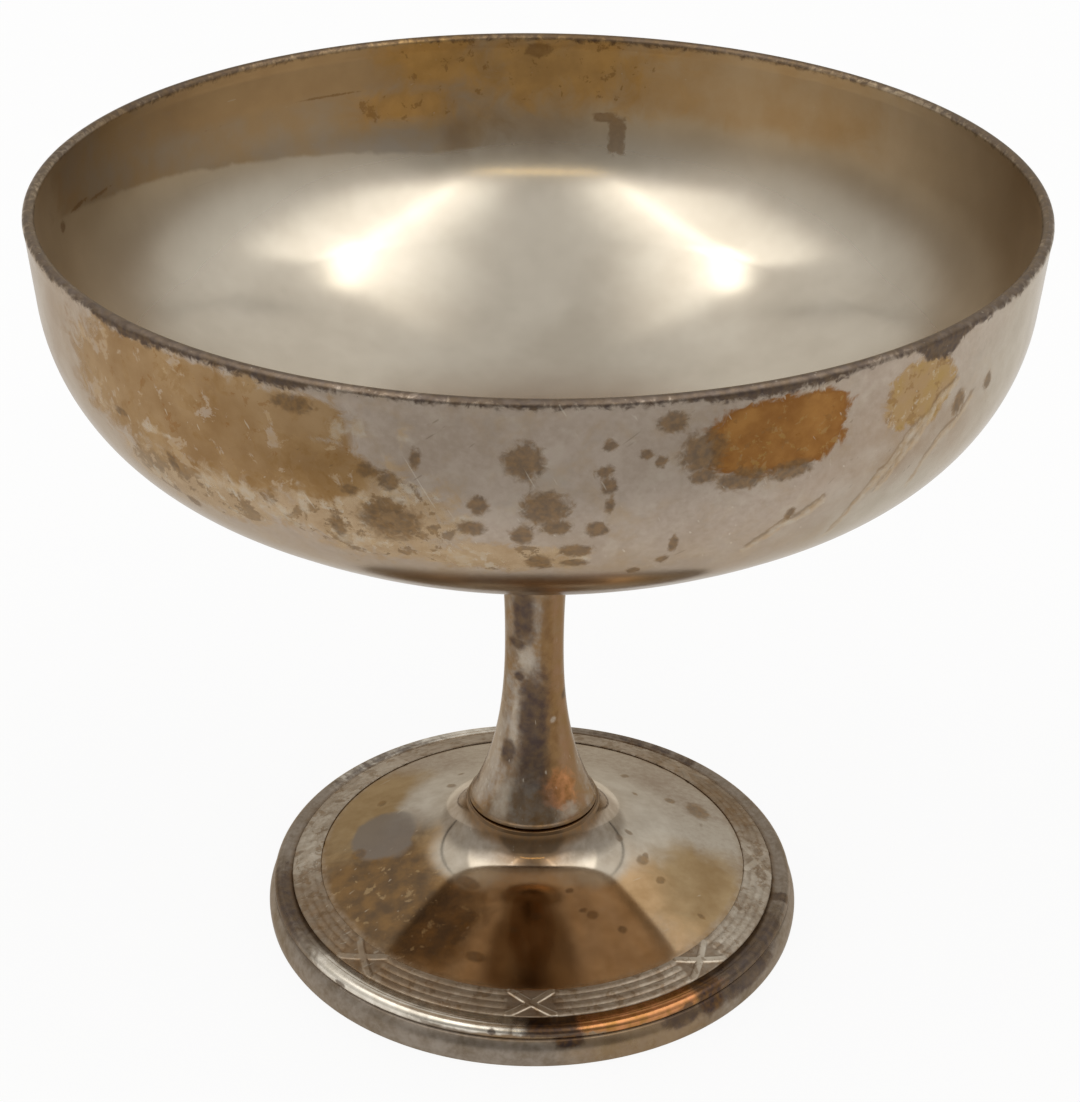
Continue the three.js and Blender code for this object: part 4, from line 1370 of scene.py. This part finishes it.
class DESSERT_OT_fastenings(bpy.types.Operator):
    """Makes the threaded stud, the washer and the nut, and gives the hidden seat its finish"""

    bl_idname = "dessert_bowl.fastenings"
    bl_label = "Fastenings"

    def execute(self, context):
        size = settings().fastening
        brass = brass_finish()
        stud = wrapped("threaded_stud", stud_grid(size, STUD_COLUMNS), False)
        settle(stud, "tie_stud", "fastening_brass", brass)
        washer = wrapped("washer", revolved(washer_outline(size), WASHER_COLUMNS), True)
        settle(washer, "clamp_washer", "fastening_brass", brass)
        nut = wrapped("hexagon_nut", nut_grid(size, NUT_COLUMNS), True)
        settle(nut, "clamp_nut", "fastening_brass", brass)
        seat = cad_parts["bowl_seat"].data.materials
        seat.clear()
        seat.append(brass)
        return {"FINISHED"}


def brass_finish():
    """Plain brass gone brown, with dark spots."""
    c = settings().colours
    plate = Plate("aged_brass", c.brass, c.brass_shade, 0.34, cloud=3)
    speck = plate.number("SUBTRACT", plate.noise(1.8, 4), 0.62)
    plate.coat(speck, c.brown, c.violet, size=0.8, ragged=0.1, soft=0.05, roughness=0.5, cover=0.6)
    return plate.done()


# Stage


def floor_finish(stage):
    """Pale paper: shadows on a diffuse ground, and a white that the camera sees everywhere.

    In what the metal mirrors, the white fades to grey in front of the bowl.
    """
    plate = Plate("pale_paper", stage.paper, stage.paper_shade, 0.9)
    plate.shader.inputs["Metallic"].default_value = 0
    plate.shader.inputs["Specular IOR Level"].default_value = 0
    axes = plate.add("ShaderNodeSeparateXYZ")
    plate.feed(axes.inputs[0], plate.object_place)
    white = plate.range(
        axes.outputs["Y"],
        -stage.front_far,
        -stage.front_near,
        stage.floor_front,
        stage.floor_white,
        "SMOOTHSTEP",
    )
    path = plate.add("ShaderNodeLightPath")
    white = plate.blend(path.outputs["Is Camera Ray"], white, stage.floor_white)
    glow = plate.add("ShaderNodeEmission")
    plate.feed(glow.inputs["Strength"], white)
    mirrored = plate.number("MAXIMUM", path.outputs["Is Glossy Ray"], path.outputs["Is Transmission Ray"])
    mirrored = plate.number("MULTIPLY", mirrored, 1 - stage.mirrored_shadow)
    seen = plate.number("MULTIPLY", path.outputs["Is Camera Ray"], 1 - stage.shadow)
    part = plate.number("MAXIMUM", seen, mirrored)
    paper = plate.add("ShaderNodeMixShader")
    plate.feed(paper.inputs[0], part)
    plate.feed(plate.shader.inputs["Base Color"], plate.colour)
    links = plate.tree.links
    links.new(plate.shader.outputs[0], paper.inputs[1])
    links.new(glow.outputs[0], paper.inputs[2])
    links.new(paper.outputs[0], plate.tree.nodes["Material Output"].inputs["Surface"])
    return plate.material


def add_floor(stage):
    """A square sheet in the plane that the foot stands on, as a grid of two by two points."""
    half = stage.floor_size / 2
    x, y = np.meshgrid([-half, half], [-half, half])
    corners = np.stack([x, y, np.zeros_like(x)], axis=-1).reshape(-1, 3)
    mesh = bpy.data.meshes.new("floor")
    mesh.from_pydata(corners, [], [(0, 1, 3, 2)])
    mesh.materials.append(floor_finish(stage))
    floor = bpy.data.objects.new("floor", mesh)
    bpy.context.scene.collection.objects.link(floor)


def add_lamp(name, low, high, height, colour, radiance):
    """A flat lamp over a rectangle, which shines straight down."""
    low, high = np.array(low), np.array(high)
    lamp = bpy.data.lights.new(name, "AREA")
    lamp.shape = "RECTANGLE"
    lamp.size, lamp.size_y = high - low
    lamp.energy = radiance * np.pi * lamp.size * lamp.size_y
    lamp.color = colour
    holder = bpy.data.objects.new(name, lamp)
    holder.location = (*(low + high) / 2, height)
    holder.visible_camera = False
    bpy.context.scene.collection.objects.link(holder)


def add_lamps(stage):
    """Two strips above the sides of the bowl, from front to back, and a bar across their front ends.

    Both ends of a strip are bright, and at the back its inner half is longer than its outer half.
    """
    drop = stage.strip_height - settings().bowl.seat_height
    near, far = -stage.strip_near * drop, stage.strip_far * drop
    aside = stage.strip_aside * drop
    half = stage.strip_width / 2
    white = stage.lamp_colour
    start, tail = stage.core_near * drop, far + stage.core_tail * drop
    for side in (-1, 1):
        middle = side * aside
        low, high = (middle - half, near), (middle + half, far)
        add_lamp("strip", low, high, stage.strip_height, white, stage.strip_level)
        high = (middle + half, near + stage.tip_length)
        add_lamp("tip", low, high, stage.strip_height, white, stage.tip_level)
        for edge, end in ((aside - stage.core_half, tail), (aside + stage.core_half, far)):
            left, right = sorted((middle, side * edge))
            add_lamp("core", (left, start), (right, end), stage.strip_height, white, stage.core_level)
    front = near - stage.bar_gap
    low, high = (half - aside, front - stage.bar_width), (aside - half, front)
    add_lamp("bar", low, high, stage.strip_height, stage.bar_colour, stage.bar_level)


def add_sky(stage):
    """The walls of a light tent: an even white, with a dim opening at the front and dark corners.

    The opening is where the way points forwards, its rise is below the opening's top, and its
    sideways part over its forward part is below a half width that narrows with the rise. A corner
    is where the way points backwards and its sideways part over its backward part has one value.
    The roof shines beside the lamps: by the sideways part over the rise, from an inner edge up to
    a crest and down to an outer edge, and only in front of a sharp back edge, which slants backwards
    inside the lamps. Behind that edge it glows a little. The camera itself sees plain white.
    """
    smallest = 0.02
    soft_side, soft_top, soft_front = 0.15, 0.03, 0.2
    corner_top, corner_fade = 0.85, 0.1
    lowest = 0.05
    front_end, front_full = -1.25, -0.75
    slant_start, slant_share, sharp = 0.5, 0.8, 0.04
    glow_full, glow_end = 0.6, 2.4

    world = bpy.data.worlds.new("light_tent")
    world.use_nodes = True
    tent = Nodes(world.node_tree)
    number, step, less = tent.number, tent.step, tent.less
    background = tent.tree.nodes["Background"]
    tent.feed(background.inputs["Color"], stage.tent_colour)
    way = tent.add("ShaderNodeSeparateXYZ")
    tent.feed(way.inputs[0], tent.add("ShaderNodeTexCoord").outputs["Generated"])
    x, y, z = way.outputs
    abreast = number("ABSOLUTE", x)

    forward = number("MAXIMUM", number("MULTIPLY", y, -1), smallest)
    sideways = number("DIVIDE", abreast, forward)
    narrowing = (stage.opening_high - stage.opening_low) / stage.opening_top
    half = number("MULTIPLY_ADD", z, narrowing, stage.opening_low)
    inside = step(number("SUBTRACT", half, sideways), -soft_side, soft_side)
    below = step(number("SUBTRACT", stage.opening_top, z), -soft_top, soft_top)
    inside = number("MULTIPLY", inside, below)
    inside = number("MULTIPLY", inside, step(forward, smallest, soft_front))
    light = number("MULTIPLY_ADD", inside, stage.opening - stage.sky, stage.sky)

    backward = number("MAXIMUM", y, smallest)
    beside = number("SUBTRACT", number("DIVIDE", abreast, backward), stage.corner_aside)
    corner = less(step(number("ABSOLUTE", beside), 0, stage.corner_width))
    corner = number("MULTIPLY", corner, step(number("SUBTRACT", corner_top, z), 0, corner_fade))
    light = number("MULTIPLY_ADD", corner, stage.corner - stage.sky, light)

    above = number("MAXIMUM", z, lowest)
    aside = number("DIVIDE", abreast, above)
    along = number("DIVIDE", y, above)
    shine = step(aside, stage.shine_inner, stage.shine_crest)
    shine = number("MULTIPLY", shine, less(step(aside, stage.shine_crest, stage.shine_outer)))
    shine = number("MULTIPLY", shine, step(along, front_end, front_full))
    slant = number("MINIMUM", number("SUBTRACT", aside, slant_start), 0)
    past = number("SUBTRACT", number("MULTIPLY_ADD", slant, slant_share, along), stage.shine_end)
    glow = number("MULTIPLY", less(step(along, glow_full, glow_end)), stage.glow)
    glow = number("MULTIPLY_ADD", less(step(past, -sharp, sharp)), stage.shine, glow)
    light = number("MULTIPLY_ADD", shine, glow, light)

    seen = tent.add("ShaderNodeLightPath").outputs["Is Camera Ray"]
    tent.feed(background.inputs["Strength"], tent.blend(seen, light, stage.floor_white))
    bpy.context.scene.world = world


def add_camera(stage):
    """The photograph's camera: in front of the axis, tilted down, with its line of sight off centre."""
    camera = bpy.data.cameras.new("camera")
    longest = max(stage.image_width, stage.image_height)
    camera.lens = camera.sensor_width * stage.focal_pixels / longest
    camera.shift_x = (stage.image_width / 2 - stage.middle_pixel) / longest
    camera.clip_start = 10 * MM
    holder = bpy.data.objects.new("camera", camera)
    tilt = Matrix.Rotation(np.pi / 2 - stage.camera_pitch, 4, "X")
    roll = Matrix.Rotation(stage.camera_roll, 4, "Z")
    place = Matrix.Translation((0, -stage.camera_back, stage.camera_height))
    holder.matrix_world = place @ tilt @ roll
    bpy.context.scene.collection.objects.link(holder)
    bpy.context.scene.camera = holder


class DESSERT_OT_stage(bpy.types.Operator):
    """Sets the camera, the pale floor, the lamps and the light tent"""

    bl_idname = "dessert_bowl.stage"
    bl_label = "Stage"

    def execute(self, context):
        stage = settings().stage
        add_camera(stage)
        add_floor(stage)
        add_lamps(stage)
        add_sky(stage)
        context.scene.view_settings.view_transform = "Standard"
        return {"FINISHED"}


# Add-on

OPERATORS = (
    DESSERT_OT_stage,
    DESSERT_OT_bowl,
    DESSERT_OT_stem,
    DESSERT_OT_foot,
    DESSERT_OT_border,
    DESSERT_OT_rim,
    DESSERT_OT_fastenings,
)


class DESSERT_PT_panel(bpy.types.Panel):
    """Lists the pieces of the bowl"""

    bl_idname = "DESSERT_PT_panel"
    bl_label = "Dessert bowl"
    bl_space_type = "VIEW_3D"
    bl_region_type = "UI"
    bl_category = "Dessert bowl"

    def draw(self, context):
        for operator in OPERATORS:
            self.layout.operator(operator.bl_idname)


CLASSES = (
    BowlSizes,
    StemSizes,
    FootSizes,
    BorderSizes,
    RimSizes,
    FasteningSizes,
    Colours,
    StageSizes,
    DessertBowl,
    *OPERATORS,
    DESSERT_PT_panel,
)


def register():
    for cls in CLASSES:
        bpy.utils.register_class(cls)
    bpy.types.Scene.dessert_bowl = bpy.props.PointerProperty(type=DessertBowl)


def unregister():
    del bpy.types.Scene.dessert_bowl
    for cls in reversed(CLASSES):
        bpy.utils.unregister_class(cls)


def main():
    """Makes the stage and every piece."""
    register()
    bpy.ops.dessert_bowl.stage()
    bpy.ops.dessert_bowl.bowl()
    bpy.ops.dessert_bowl.stem()
    bpy.ops.dessert_bowl.foot()
    bpy.ops.dessert_bowl.border()
    bpy.ops.dessert_bowl.rim()
    bpy.ops.dessert_bowl.fastenings()


if __name__ == "__main__":
    main()
